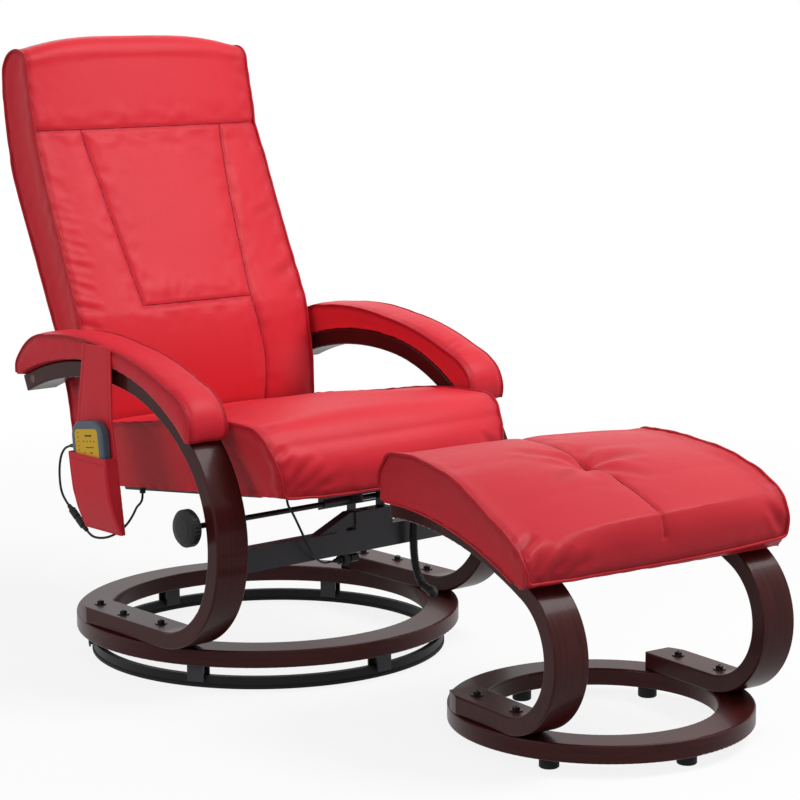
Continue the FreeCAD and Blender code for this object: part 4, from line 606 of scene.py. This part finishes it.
def cushion(name, mesh, body, replaces, rims, held, edges=(), voxel=0.006, cap=0.014, side_cap=0.006,
            inset=0.004, pressure=4.0):
    """A cushion to be swelled, up to its cap: its rims stay put, and so does what held() names."""
    voxelled = remeshed(name, mesh, voxel)
    settle(voxelled, mesh, rims + list(edges), voxel * ONTO_EDGE)
    # The footstool takes the darker copy of the leather, which is painted shade
    piece = new_piece(name, voxelled, body, STOOL_LEATHER_SHADED if body == "ottoman" else LEATHER)
    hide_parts(*replaces)
    where = coordinates(voxelled)
    out = normals(voxelled)
    apart = distances(where, rims)
    cap = cap - (cap - side_cap) * np.clip(np.abs(out[:, 0]) * SIDE_GAIN - (SIDE_GAIN - 1), 0, 1)
    fixed = np.array([held(p) for p in where], dtype=bool)
    start = where - out * (inset * (1 - bell(apart, INSET_REACH)) * ~fixed)[:, None]
    place_vertices(voxelled, start)
    pinned = np.where((apart < voxel * ON_RIM) | fixed)[0]
    piece.vertex_groups.new(name="pin").add([int(i) for i in pinned], 1.0, "REPLACE")
    cushions.append({"piece": piece, "where": where, "cap": cap, "pinned": pinned, "pressure": pressure})
    return piece


def swell_all():
    """One run of Cloth for all the cushions, each capped and applied."""
    for c in cushions:
        cloth = c["piece"].modifiers.new("swell", "CLOTH")
        settings = cloth.settings
        settings.quality = 4
        settings.mass = 0.3
        settings.tension_stiffness = settings.compression_stiffness = 18
        settings.shear_stiffness = 8
        settings.bending_stiffness = 2.5
        settings.air_damping = 2
        settings.use_pressure = True
        settings.uniform_pressure_force = c["pressure"]
        settings.vertex_group_mass = "pin"
        settings.effector_weights.gravity = 0
        cloth.collision_settings.use_collision = False
        cloth.point_cache.frame_start, cloth.point_cache.frame_end = 1, CLOTH_STEPS
    for step in range(1, CLOTH_STEPS + 1):
        bpy.context.scene.frame_set(step)
    for c in cushions:
        piece = c["piece"]
        swelled = worked(piece)
        moved = coordinates(swelled.to_mesh())
        swelled.to_mesh_clear()
        piece.modifiers.clear()
        shift = moved - c["where"]
        far = np.linalg.norm(shift, axis=1)
        limit = np.minimum(1.0, c["cap"] / np.maximum(far, 1e-9))
        moved = c["where"] + shift * limit[:, None]
        moved[c["pinned"]] = c["where"][c["pinned"]]
        place_vertices(piece.data, moved)
        fine = piece.modifiers.new("fine", "SUBSURF")
        fine.levels = fine.render_levels = 1
        done = bpy.data.meshes.new_from_object(worked(piece))
        piece.modifiers.clear()
        old = piece.data
        piece.data = done
        dress(piece, old.materials[0])
        bpy.data.meshes.remove(old)
        done.name = piece.name
        smooth(done)
    bpy.context.scene.frame_set(1)


# How the leather sinks at a seam and in the valley round it, and beside a rim
SEAM_DEPTH, SEAM_WIDTH, VALLEY_SHARE, VALLEY_WIDTH = 0.0026, 0.0045, 0.8, 0.018
GROOVE_DEPTH, GROOVE_AT, GROOVE_WIDTH = 0.0011, 0.0065, 0.0035
# Puckers are highest beside a seam or rim, and broad folds lie away from both
PUCKER_AT, PUCKER_FROM = 0.012, 0.002
FOLD_DEPTH, FOLD_RATE, FOLD_SEED, FOLD_REACH = 0.0012, 9, 31, 0.03
# How dark and how wide the painted shade is in and round a seam or rim
SEAM_SHADE, ROUND_SEAM_SHADE = (0.45, 0.0028), (0.10, 0.016)
RIM_SHADE, ROUND_RIM_SHADE = (0.80, 0.0062), (0.16, 0.032)
DARKEST = 0.8
# A crease starts part of the way into its fade, has banks beside it, and its painted shade is darkest from a
# depth on
CREASE_START, CREASE_FADE, CREASE_SHADE, CREASE_SHADE_WIDTH, DARK_DEPTH = 0.15, 0.8, 0.50, 0.8, 3
BANK_SHARE, BANK_AT, BANK_WIDTH = 0.55, 1.7, 0.8


# Stores painted shade on the mesh, in the attribute called crease
def mark_painted_shade(mesh, shade):
    crease = mesh.attributes.new("crease", "FLOAT", "POINT")
    crease.data.foreach_set("value", shade.astype(np.float32))


def shape_surface(piece, seams, rims, creases, pucker, seed):
    """Sewn channels along the seams, puckers (depth, wave, reach) beside them, and single creases, with
    painted shade in and round seams, rims and creases.

    A crease is its start and end, each x, y and z, its depth and its width in mm, and fades towards its end.
    """
    mesh = piece.data
    where, out = coordinates(mesh), normals(mesh)
    to_seam, to_rim = distances(where, seams), distances(where, rims)
    near = np.minimum(to_rim, to_seam)
    depth, wave, reach = pucker
    ripple = noise_at(where / wave + (seed, 0, 0))
    folds = noise_at(where * FOLD_RATE + (seed + FOLD_SEED, 0, 0))
    move = -SEAM_DEPTH * bell(to_seam, SEAM_WIDTH) - SEAM_DEPTH * VALLEY_SHARE * bell(to_seam, VALLEY_WIDTH)
    move += depth * ripple * bell(near - PUCKER_AT, reach) * (near > PUCKER_FROM)
    move += FOLD_DEPTH * folds * (1 - bell(near, FOLD_REACH))
    move -= GROOVE_DEPTH * bell(to_rim - GROOVE_AT, GROOVE_WIDTH)
    # Painted shade: darker in and round the seams and rims, and along the creases
    shade = np.zeros(len(where))
    for (dark, width), away in ((SEAM_SHADE, to_seam), (RIM_SHADE, to_rim),
                                (ROUND_RIM_SHADE, to_rim), (ROUND_SEAM_SHADE, to_seam)):
        shade += dark * bell(away, width)
    for *ends, deep, wide in creases:
        a, b = np.array(ends[:3]) * MM, np.array(ends[3:]) * MM
        run = b - a
        t = np.clip((where - a) @ run / (run @ run), 0, 1)
        off = np.linalg.norm(where - (a + t[:, None] * run), axis=1) / (wide * MM)
        fade = np.sin(np.pi * np.clip(t * (1 - CREASE_START) + CREASE_START, 0, 1)) ** CREASE_FADE
        move += -deep * MM * fade * (bell(off, 1) - BANK_SHARE * bell(off - BANK_AT, BANK_WIDTH))
        shade += CREASE_SHADE * min(1.0, deep / DARK_DEPTH) * fade * bell(off, CREASE_SHADE_WIDTH)
    place_vertices(mesh, where + out * move[:, None])
    mark_painted_shade(mesh, np.clip(shade, 0, DARKEST))


THREAD_RADIUS = 0.0006
PIPING_RADIUS, STOOL_PIPING, ARM_PIPING, HEM = 0.0024, 0.0025, 0.0015, 0.0014
PIPING_OUT = 0.35


def sewn(name, piece, starts, direction, body):
    """The dark line of a seam, laid on the cushion's surface."""
    line = on_surface(piece.data, resampled(starts, 0.006), direction, sink=0.0001)
    line = resampled(rounded(line, 2), 0.004)
    tube(name, line, THREAD_RADIUS, body, THREAD, sides=6)


def welt(name, line, radius, piece, body, closed=False):
    """A piped edge, sewn down on the cushion's final surface."""
    line = rounded(resampled(line, 0.005, closed), 2, closed)
    places, facing = nearest_on(piece.data, line)
    line = rounded([p + n * radius * PIPING_OUT for p, n in zip(places, facing)], 2, closed)
    # The piping takes the darker leather copy, which is painted shade
    tube(name, line, radius, body, PIPING_SHADED, sides=10, closed=closed)


# Backrest

back_mesh = crowned("back_upholstery", BACK, back_half, power=3.2)
back_rims = [rim(BACK, back_half, side, 0, len(BACK)) for side in (-1, 1)]
BACK_HEAD_Z, BACK_LOW_Z, BACK_HEAD_X, BACK_LOW_X = 880.0, 580.0, 150.0, 116.0
BACK_FOOT = 0.3545
back_sides = [(BACK_HEAD_X, BACK_HEAD_Z), (138, 790), (127, 690), (121, 628), (BACK_LOW_X, BACK_LOW_Z)]
back_below = [(BACK_LOW_X, BACK_LOW_Z), (126, 511), (132, 478), (136, 417), (137, 366)]
back_seam_plans = [[(x, BACK_HEAD_Z) for x in range(-236, 237, 8)],
                   [(x, BACK_LOW_Z) for x in (-BACK_LOW_X, -60, 0, 60, BACK_LOW_X)],
                   [(-x, z) for x, z in back_sides], back_sides, back_below]
back_starts = [[Vector((x, 0, z)) * MM for x, z in plan] for plan in back_seam_plans]
back = cushion("back_upholstery", back_mesh, "backrest", ["back_cushion", "back_rear_cover"], back_rims,
               lambda p: p[2] < BACK_FOOT, side_cap=0.004)

# Seat, with the depth, middle and half sizes of the place where it is pressed down

PRESSED, PRESSED_Y, PRESSED_SHARE, PRESSED_ALONG, PRESSED_ACROSS = 9.0, -60, 0.6, 120, 0.26
SEAT_TOP_FROM = 385


def seat_lift(share, y, z):
    """The seat's top is pressed down a little on its far half."""
    if z <= SEAT_TOP_FROM:
        return 0.0
    along = math.exp(-((y - PRESSED_Y) / PRESSED_ALONG) ** 2)
    across = math.exp(-((share - PRESSED_SHARE) / PRESSED_ACROSS) ** 2)
    return -PRESSED * (along * across * (1 - share ** 8))


seat_mesh = crowned("seat_upholstery", SEAT, seat_half, lift=seat_lift)
seat_rims = [rim(SEAT, seat_half, side, 2, 10) for side in (-1, 1)]
front_y, front_z, front_out, front_down = SEAT[2]
front_half = seat_half(front_z)
seat_front = []
for x in np.linspace(-front_half, front_half, 76):
    swell = 1 - abs(x / front_half) ** CROWN
    seat_front.append(Vector((x, front_y + front_out * swell, front_z + front_down * swell)) * MM)
SEAT_LOW_EDGE = ((158, 279), (front_y, front_z))
seat_low_edges = [[Vector((side * seat_half(z), y, z)) * MM for y, z in SEAT_LOW_EDGE] for side in (-1, 1)]
UNDERSIDE_SLOPE, UNDERSIDE_MARGIN, SEAT_REAR = 0.10887, 2, 0.155


def seat_underside(p):
    """Whether a place lies on the seat's board or its rear face."""
    level = front_z - (p[1] * 1000 - front_y) * UNDERSIDE_SLOPE + UNDERSIDE_MARGIN
    return p[2] < level * MM or p[1] > SEAT_REAR


seat = cushion("seat_upholstery", seat_mesh, "seat", ["seat_cushion"], seat_rims + [seat_front],
               seat_underside, edges=seat_low_edges)

# Arms

ON_LEG = 0.004
pads = []
for side, word in ((-1, "right"), (1, "left")):
    middle = side * PAD_MIDDLE
    mesh = crowned("arm_upholstery_" + word, PAD, lambda z: PAD_HALF, centre_x=middle, shares=21, step=7.0)
    rims = [rim(PAD, lambda z: PAD_HALF, edge, 2, 14, centre_x=middle) for edge in (-1, 1)]
    leg_tree = tree_of(NODES["arm_leg_" + word].data)

    def on_leg(p, tree=leg_tree):
        """Whether a place of the pad lies on the bentwood."""
        return tree.find_nearest(Vector(p), ON_LEG)[0] is not None

    pad = cushion("arm_upholstery_" + word, mesh, "chair_frame", ["arm_pad_" + word], rims, on_leg,
                  voxel=0.005, cap=0.005, inset=0.002, pressure=3.0)
    pads.append((pad, rims, word, side))

# Footstool


def stool_line(knot):
    """The line across the footstool that one knot of its loft draws."""
    line = []
    for share in np.linspace(-1, 1, 71):
        swell = 1 - abs(share) ** CROWN
        y, z = knot[0] + knot[2] * swell, knot[1] + knot[3] * swell
        line.append(STOOL_PLACE @ (Vector((share * STOOL_HALF, y, z + stool_lift(share, y, z))) * MM))
    return line


stool_mesh = crowned("ottoman_upholstery", STOOL, lambda z: STOOL_HALF, turn=STOOL_PLACE, lift=stool_lift)
stool_rims = [rim(STOOL, lambda z: STOOL_HALF, side, 6, 18, turn=STOOL_PLACE, lift=stool_lift)
              for side in (-1, 1)]
stool_low_edges = [rim(STOOL, lambda z: STOOL_HALF, side, 0, 4, turn=STOOL_PLACE) for side in (-1, 1)]
stool_nose, stool_heel = stool_line(STOOL[6]), stool_line(STOOL[18])
# The footstool's board lies on its legs' upper arc, here in the footstool's own y and z
ARC_MIDDLE, ARC_RADIUS, BOARD_OVER_ARC, STOOL_LOWEST = Vector((0.18155, -0.33600)), 0.668, 0.0155, 0.279
STOOL_FRAME = STOOL_PLACE.inverted()


def stool_underside(p):
    """Whether a place lies on the board or at the lowest edge."""
    own = STOOL_FRAME @ Vector(p)
    over = (own.yz - ARC_MIDDLE).length
    return over < ARC_RADIUS + BOARD_OVER_ARC or own.z < STOOL_LOWEST


stool = cushion("ottoman_upholstery", stool_mesh, "ottoman", ["ottoman_cushion"],
                stool_rims + [stool_nose, stool_heel], stool_underside, edges=stool_low_edges)

swell_all()

TUFT = STOOL_PLACE @ (Vector((-8, 34, 410)) * MM)
# Depth and width of the tuft's dimple, its surround and the folds that run out from it
DIMPLE, SURROUND, TUFT_FOLDS = (0.016, 0.022), (0.006, 0.06), (0.0020, 0.026)
TUFT_FOLD_COUNT, TUFT_FOLD_TURN, TUFT_FOLDS_AT = 6, 0.8, 0.042


def press_tuft(piece):
    """The tuft's dimple in the footstool's top."""
    mesh = piece.data
    where, out = coordinates(mesh), normals(mesh)
    flat = where[:, :2] - np.array(TUFT[:2])
    away = np.linalg.norm(flat, axis=1)
    angle = np.arctan2(flat[:, 1], flat[:, 0])
    top = out[:, 2] > 0.3
    dip = DIMPLE[0] * np.exp(-(away / DIMPLE[1]) ** 1.4) + SURROUND[0] * bell(away, SURROUND[1])
    folds = np.cos(angle * TUFT_FOLD_COUNT + TUFT_FOLD_TURN)
    dip += TUFT_FOLDS[0] * folds * bell(away - TUFT_FOLDS_AT, TUFT_FOLDS[1])
    place_vertices(mesh, where - np.array([0, 0, 1.0]) * (dip * top)[:, None])


press_tuft(stool)

stool_middle = [STOOL_PLACE @ (Vector((0, y, 520)) * MM) for y in range(-150, 238, 6)]
stool_seam_line = on_surface(stool.data, stool_middle, (0, 0, -1))
back_lines = [on_surface(back.data, resampled(s, 0.006), (0, 1, 0)) for s in back_starts]

shape_surface(back, back_lines, back_rims, seed=2.0, pucker=(0.0018, 0.024, 0.026), creases=[
    (-62, 303, 884, -60, 296, 925, 2.2, 9), (96, 303, 884, 100, 300, 912, 1.6, 8),
    (128, 305, 884, 136, 300, 912, 1.4, 7), (-66, 176, 584, -44, 196, 640, 2.2, 9),
    (-20, 176, 584, -14, 190, 622, 1.4, 8), (104, 176, 592, 96, 200, 650, 2.0, 8),
    (-238, 330, 950, -214, 318, 938, 1.8, 6), (-238, 326, 925, -208, 315, 908, 1.6, 6),
    (-238, 322, 900, -205, 310, 890, 1.6, 6), (-240, 303, 850, -200, 292, 828, 1.8, 7),
    (-241, 290, 815, -198, 282, 800, 1.6, 6), (-241, 275, 775, -196, 266, 755, 2.0, 7),
    (-242, 262, 735, -190, 250, 722, 2.0, 7), (-242, 247, 700, -192, 238, 680, 1.6, 6),
    (-243, 232, 662, -190, 222, 648, 2.0, 7), (-243, 218, 628, -198, 208, 610, 1.6, 6),
    (-244, 205, 590, -192, 196, 575, 2.0, 7), (-244, 196, 560, -200, 188, 545, 1.6, 6),
    (-245, 188, 525, -200, 180, 512, 1.6, 6), (238, 262, 735, 170, 250, 716, 1.4, 9),
    (241, 218, 628, 175, 208, 600, 1.6, 10), (242, 205, 585, 190, 198, 560, 1.2, 9),
    (120, 176, 572, 134, 172, 500, 1.4, 10)])
shape_surface(seat, [], seat_rims + [seat_front], seed=7.0, pucker=(0.0013, 0.026, 0.028),
              creases=[
    (-228, -336, 352, -170, -362, 398, 3.0, 10), (-212, -344, 344, -150, -366, 380, 2.6, 9),
    (-190, -350, 340, -120, -366, 362, 2.0, 9), (-232, -338, 372, -190, -360, 410, 2.4, 8),
    (-236, -330, 398, -196, -350, 428, 1.8, 7), (-240, -300, 430, -200, -305, 452, 1.4, 8),
    (226, -335, 352, 180, -360, 392, 2.0, 9), (130, -80, 444, 236, -100, 432, 2.6, 13),
    (120, -40, 441, 236, -52, 426, 3.0, 13), (110, 5, 435, 236, -2, 420, 3.0, 13),
    (110, 50, 428, 236, 48, 412, 3.0, 13), (120, 96, 418, 236, 98, 403, 2.6, 13)])
for pad, rims, word, side in pads:
    shape_surface(pad, [], rims, seed=11.0 + side, pucker=(0.0006, 0.022, 0.016), creases=[
        (side * 262, -170, 506, side * 300, -160, 513, 1.0, 6),
        (side * 262, -188, 500, side * 296, -180, 506, 1.0, 6)])


def local_folds(folds):
    """Folds given in the footstool's own axes."""
    turned = []
    for *ends, deep, wide in folds:
        a, b = (STOOL_PLACE @ (Vector(p) * MM) / MM for p in (ends[:3], ends[3:]))
        turned.append((*a, *b, deep, wide))
    return turned


STOOL_FOLDS = [
    (-238, -138, 296, -196, -142, 345, 4.2, 9), (-222, -141, 292, -160, -150, 330, 4.0, 10),
    (-200, -143, 291, -130, -152, 316, 3.0, 10), (-242, -120, 326, -205, -108, 352, 2.6, 8),
    (236, -138, 305, 205, -140, 352, 2.4, 9), (240, -120, 352, 206, -104, 372, 1.8, 8),
    (-40, 20, 412, -110, -30, 404, 1.8, 14), (-30, 60, 414, -90, 120, 424, 1.4, 14),
    (24, 40, 412, 110, 30, 416, 1.8, 16), (10, 0, 410, 60, -50, 398, 1.6, 14)]
shape_surface(stool, [stool_seam_line], stool_rims + [stool_nose, stool_heel], seed=17.0,
              pucker=(0.0010, 0.028, 0.030), creases=local_folds(STOOL_FOLDS))

# Piping, seams and hems

for side, line in zip(("right", "left"), back_rims):
    welt("back_piping_" + side, line, PIPING_RADIUS, back, "backrest", closed=True)
for i, starts in enumerate(back_starts):
    sewn("back_seam_%d" % (i + 1), back, starts, (0, 1, 0), "backrest")
seat_edge = seat_rims[0][::-1] + seat_front[1:-1] + seat_rims[1]
welt("seat_piping", seat_edge, PIPING_RADIUS, seat, "seat")
stool_edge = stool_rims[0][::-1] + stool_nose[1:-1] + stool_rims[1] + stool_heel[-2:0:-1]
welt("ottoman_piping", stool_edge, STOOL_PIPING, stool, "ottoman", closed=True)
sewn("ottoman_seam", stool, stool_middle, (0, 0, -1), "ottoman")
for side, line in zip(("right", "left"), stool_low_edges):
    hem = rounded(resampled(line, 0.006)[3:-3], 2)
    tube("ottoman_hem_" + side, hem, HEM, "ottoman", STOOL_LEATHER_SHADED, sides=8)
for pad, rims, word, side in pads:
    for edge, line in zip(("inner", "outer") if side > 0 else ("outer", "inner"), rims):
        welt("arm_piping_%s_%s" % (word, edge), line, ARM_PIPING, pad, "chair_frame")

# Leads


def lead_line(name, points_mm):
    """The middle line of a lead, from the points of its route."""
    curve = bpy.data.curves.new(name + "_line", "CURVE")
    curve.dimensions = "3D"
    spline = curve.splines.new("NURBS")
    spline.points.add(len(points_mm) - 1)
    for point, place in zip(spline.points, points_mm):
        point.co = (*[c * MM for c in place], 1)
    spline.order_u = 3
    spline.use_endpoint_u = True
    spline.resolution_u = 10
    carrier = bpy.data.objects.new(name + "_line", curve)
    bpy.context.collection.objects.link(carrier)
    mesh = bpy.data.meshes.new_from_object(carrier)
    line = [v.co.copy() for v in mesh.vertices]
    bpy.data.objects.remove(carrier)
    bpy.data.curves.remove(curve)
    bpy.data.meshes.remove(mesh)
    return line


LEAD_DIAMETER, CONDUIT_DIAMETER = 0.0040, 0.0144
UPPER_ROUTE = [(-344.6, 64.58, 378.84), (-344.6, 88.40, 375.91), (-346, 104, 361), (-344, 114.5, 339),
               (-341, 120, 315), (-337, 122.5, 293), (-333, 116.9, 277.7), (-333, 106, 270.6)]
LOWER_ROUTE = [(-333, 54, 236.6), (-333, 44.0, 230.0), (-330, 29, 227), (-320, 12, 229), (-304, 1, 238),
               (-284, 4, 250), (-262, 20, 260), (-241, 42, 265), (-222, 58, 266), (-212, 66, 272.7),
               (-212, 66, 288.2)]
POWER_ROUTE = [(-163, -266, 325.0), (-163, -266, 306.5), (-155, -268, 294), (-146, -270, 275),
               (-136, -270.5, 255), (-125, -270, 234), (-112, -267, 215), (-93, -260, 200),
               (-73, -250, 192.5), (-61, -244.5, 191.5), (-50, -244.5, 191.5)]
CONDUIT_ROUTE = [(100, -271, 325.6), (100, -273, 262), (100, -270, 196), (100, -276, 160), (100, -292, 136),
                 (100, -312, 130)]


def lead(name, route, node):
    """A lead that stretches between two bodies."""
    line = lead_line(name, route)
    piece = tube(name, line, LEAD_DIAMETER / 2, None, FINISHES["lead_sheath"])
    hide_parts(node)
    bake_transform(piece)


lead("remote_lead_top", UPPER_ROUTE, "remote_lead_upper")
lead("remote_lead_low", LOWER_ROUTE, "remote_lead_lower")
lead("supply_lead", POWER_ROUTE, "power_lead")
conduit_line = lead_line("conduit", CONDUIT_ROUTE)

# Strap and pocket


# How much of an even mesh goes back to its solid, and the plane outside which a bend is eased
TO_SOLID, EASED_FROM, EASED_OVER = 0.6, -0.343, 0.006
# Waves of the leather's outside, and its stitched hems, which sink and get painted shade along them
WAVE_DEPTH, WAVES_ALONG, WAVES_UP = 0.0009, 22, 13
HEM_DEPTH, HEM_WIDTH, HEM_SHADE, HEM_SHADE_WIDTH = 0.0006, 0.0018, 0.5, 0.0013


def leather_copy(name, node, voxel, hems, swell, seed, eased=None):
    """A sewn leather piece with the CAD solid's outline, its edges turned over and stitched down.

    Eased is the level, half height and slope of a bend in its outside that is taken off.
    """
    original = NODES[node].data.copy()
    mesh = remeshed(name, original, voxel)
    where = coordinates(mesh)
    places, _ = nearest_on(original, where)
    where = np.array([tuple(p) for p in places]) * TO_SOLID + where * (1 - TO_SOLID)
    if eased is not None:
        level, half, slope = eased
        near = np.clip(1 - np.abs(where[:, 2] - level) / half, 0, 1)
        outer = np.clip((EASED_FROM - where[:, 0]) / EASED_OVER, 0, 1)
        where[:, 0] += slope * half / 4 * near ** 2 * outer
    place_vertices(mesh, where)
    bpy.data.meshes.remove(original)
    piece = new_piece(name, mesh, "chair_frame", LEATHER)
    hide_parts(node)
    where, out = coordinates(mesh), normals(mesh)
    apart = distances(where, [[Vector(p) * MM for p in hem] for hem in hems])
    outside = np.clip(-out[:, 0] * 2 - 0.6, 0, 1)
    waves = noise_at(where * (0, WAVES_ALONG, WAVES_UP) + (seed, 0, 0))
    move = WAVE_DEPTH * waves * swell * outside - HEM_DEPTH * bell(apart, HEM_WIDTH) * outside
    place_vertices(mesh, where + out * move[:, None])
    # Painted shade along the hems' grooves
    mark_painted_shade(mesh, HEM_SHADE * bell(apart, HEM_SHADE_WIDTH))
    smooth(mesh)
    return piece


STRAP_X, POCKET_X = -335.3, -357.3
strap_hems = [[(STRAP_X, 41, 545), (STRAP_X, 62, 425), (STRAP_X, 68, 374)],
              [(STRAP_X, -25, 545), (STRAP_X, -23, 425), (STRAP_X, -34, 374)]]
strap = leather_copy("remote_sling_strap", "remote_strap", 0.0016, strap_hems, 0.6, 3.0)
pocket_hems = [[(POCKET_X, 62, 361), (POCKET_X, -38, 361)],
               [(POCKET_X, 58, 355), (POCKET_X, 47, 294), (-344, 41, 252)],
               [(POCKET_X, -42, 355), (POCKET_X, -50, 294), (-344, -53, 252)],
               [(-343, 43, 250.5), (-343, -55, 250.5)]]
pocket = leather_copy("remote_sling_pocket", "remote_pocket", 0.0014, pocket_hems, 1.4, 5.0,
                      eased=(0.294, 0.022, 0.458))

# CAD nodes that show

SLOT_NODES = {
    "plywood": "seat_board back_board ottoman_board",
    "black_track": "floor_ring",
    "black_steel": "track_brackets cross_beam clamp_bracket clamp_sleeve back_frame seat_rails "
                   "seat_slide_channel",
    "black_zinc": "clamp_rod foot_bolts frame_screws recline_pivot_bolts ottoman_bolts",
    "bright_zinc": "clamp_nut seat_hinge_pins",
    "black_rubber": "floor_ring_edging ottoman_feet",
    "black_plastic": "recline_knob control_box conduit conduit_fitting power_connector remote_connector "
                     "seat_glands remote_strain_relief lead_clip",
    "nylon": "glide_pads pivot_bushes",
    "remote_grey": "remote_case_front remote_case_back",
    "remote_yellow": "remote_label",
    "key_grey": "key_power key_program key_heat key_speed",
    "circuit_green": "remote_board",
    "motor_can": "seat_motors back_motors",
    "heater_cloth": "heater_pad",
    "cap_brown": "bolt_caps",
}
WOOD_NODES = {"arm_leg_right": WOOD, "arm_leg_left": WOOD, "base_ring": CHAIR_RING_WOOD,
              "ottoman_leg_right": WOOD, "ottoman_leg_left": WOOD, "ottoman_ring": STOOL_RING_WOOD}
for slot, names in SLOT_NODES.items():
    for name in names.split():
        dress(NODES[name], FINISHES[slot])
for name, material in WOOD_NODES.items():
    dress(NODES[name], material)

# Small plain marks on the remote's panel

PANEL_TILT = math.radians(7)
PANEL_UP = Vector((0, math.sin(PANEL_TILT), math.cos(PANEL_TILT)))
PANEL_SIDE = Vector((0, -PANEL_UP.z, PANEL_UP.y))
PANEL_MIDDLE = Vector((-353.15, 13.08, 361.48))
MARK_DEPTH = 0.15
MARKS = [(-24, row, 3, 1.6) for row in range(46, 17, -7)] + [(6, 41, 20, 3)]
MARKS += [(column, 32, 3, 2) for column in range(-8, 23, 10)]
MARKS += [(8, 22, 24, 1.4), (-8, 13, 3, 2), (12, 13, 6, 2), (2, 3, 26, 2)]
marks = bmesh.new()
for column, row, wide, high in MARKS:
    spots = []
    for depth in (0, -MARK_DEPTH):
        for a, b in ((-1, -1), (1, -1), (1, 1), (-1, 1)):
            corner = PANEL_MIDDLE + PANEL_SIDE * (column + a * wide / 2) + PANEL_UP * (row + b * high / 2)
            spots.append(marks.verts.new((corner + Vector((depth, 0, 0))) * MM))
    for face in ((0, 1, 2, 3), (7, 6, 5, 4), (0, 4, 5, 1), (1, 5, 6, 2), (2, 6, 7, 3), (3, 7, 4, 0)):
        marks.faces.new([spots[i] for i in face])
marks_mesh = bpy.data.meshes.new("remote_marks")
bmesh.ops.recalc_face_normals(marks, faces=marks.faces)
marks.to_mesh(marks_mesh)
marks.free()
new_piece("remote_marks", marks_mesh, "remote", FINISHES["mark_black"])

# Floor and lights

# The floor's grey in the light that it gives back and as it is seen, and where it turns to plain white
FLOOR_GREY, FLOOR_SEEN, FLOOR_GLOW = (0.42, 0.42, 0.42), (0.95, 0.95, 0.95), 0.86
WHITE_FROM, WHITE_AT = 0.9, 2.4
FLOOR, FLOOR_LEVEL = 9, -0.0006
WHITE, AMBIENT = (1, 1, 1, 1), 0.24

# The floor keeps the object's faint shadow and has no edge further out
s = Shader(bpy.data.materials.new("floor"))
rays = s.node("LightPath").outputs
tone = s.mix(rays["Is Camera Ray"], FLOOR_GREY, FLOOR_SEEN)
s.finish(Base_Color=tone, Roughness=0.9, Specular_IOR_Level=0.0)
away = s.node("VectorMath", {"operation": "LENGTH"}, Vector=s.place()).outputs["Value"]
reach = s.node("MapRange", Value=away, From_Min=WHITE_FROM, From_Max=WHITE_AT, To_Min=FLOOR_GLOW, To_Max=1.0)
glow = s.node("Emission", Color=WHITE, Strength=1.0)
share = s.math("MULTIPLY", s.background_rays(rays), reach.outputs["Result"])
s.blend_out(share, s.bsdf, glow, "Material Output")

floor_mesh = bpy.data.meshes.new("floor")
corners = ((-FLOOR, -FLOOR), (FLOOR, -FLOOR), (FLOOR, FLOOR), (-FLOOR, FLOOR))
floor_mesh.from_pydata([(x, y, FLOOR_LEVEL) for x, y in corners], [], [(0, 1, 2, 3)])
floor = bpy.data.objects.new("floor", floor_mesh)
bpy.context.collection.objects.link(floor)
floor_mesh.materials.append(s.owner)

studio = Shader(bpy.data.worlds.new("studio"))
bpy.context.scene.world = studio.owner
ambient = studio.tree.nodes["Background"]
studio.put(ambient, Color=WHITE, Strength=AMBIENT)
backdrop = studio.node("Background", Color=WHITE, Strength=1.0)
share = studio.background_rays(studio.node("LightPath").outputs)
studio.blend_out(share, ambient, backdrop, "World Output")


def softbox(name, place, aim, size, power):
    """A lamp with an even face, turned to what it lights."""
    lamp = bpy.data.lights.new(name, "AREA")
    lamp.shape = "RECTANGLE"
    lamp.size, lamp.size_y = size
    lamp.energy = power
    holder = bpy.data.objects.new(name, lamp)
    bpy.context.collection.objects.link(holder)
    holder.location = place
    holder.rotation_euler = (Vector(aim) - Vector(place)).to_track_quat("-Z", "Y").to_euler()


softbox("key", (1.3, -1.7, 3.1), (0, -0.2, 0.5), (1.9, 1.9), 92)
softbox("side", (-3.1, -0.2, 1.7), (0, -0.1, 0.5), (1.4, 1.4), 22)
softbox("fill", (-1.4, -3.2, 2.0), (0, -0.2, 0.5), (1.8, 2.0), 8)
softbox("back", (1.2, 2.8, 2.6), (0, 0, 0.6), (2.0, 1.4), 12)
bpy.context.scene.view_settings.view_transform = "Standard"
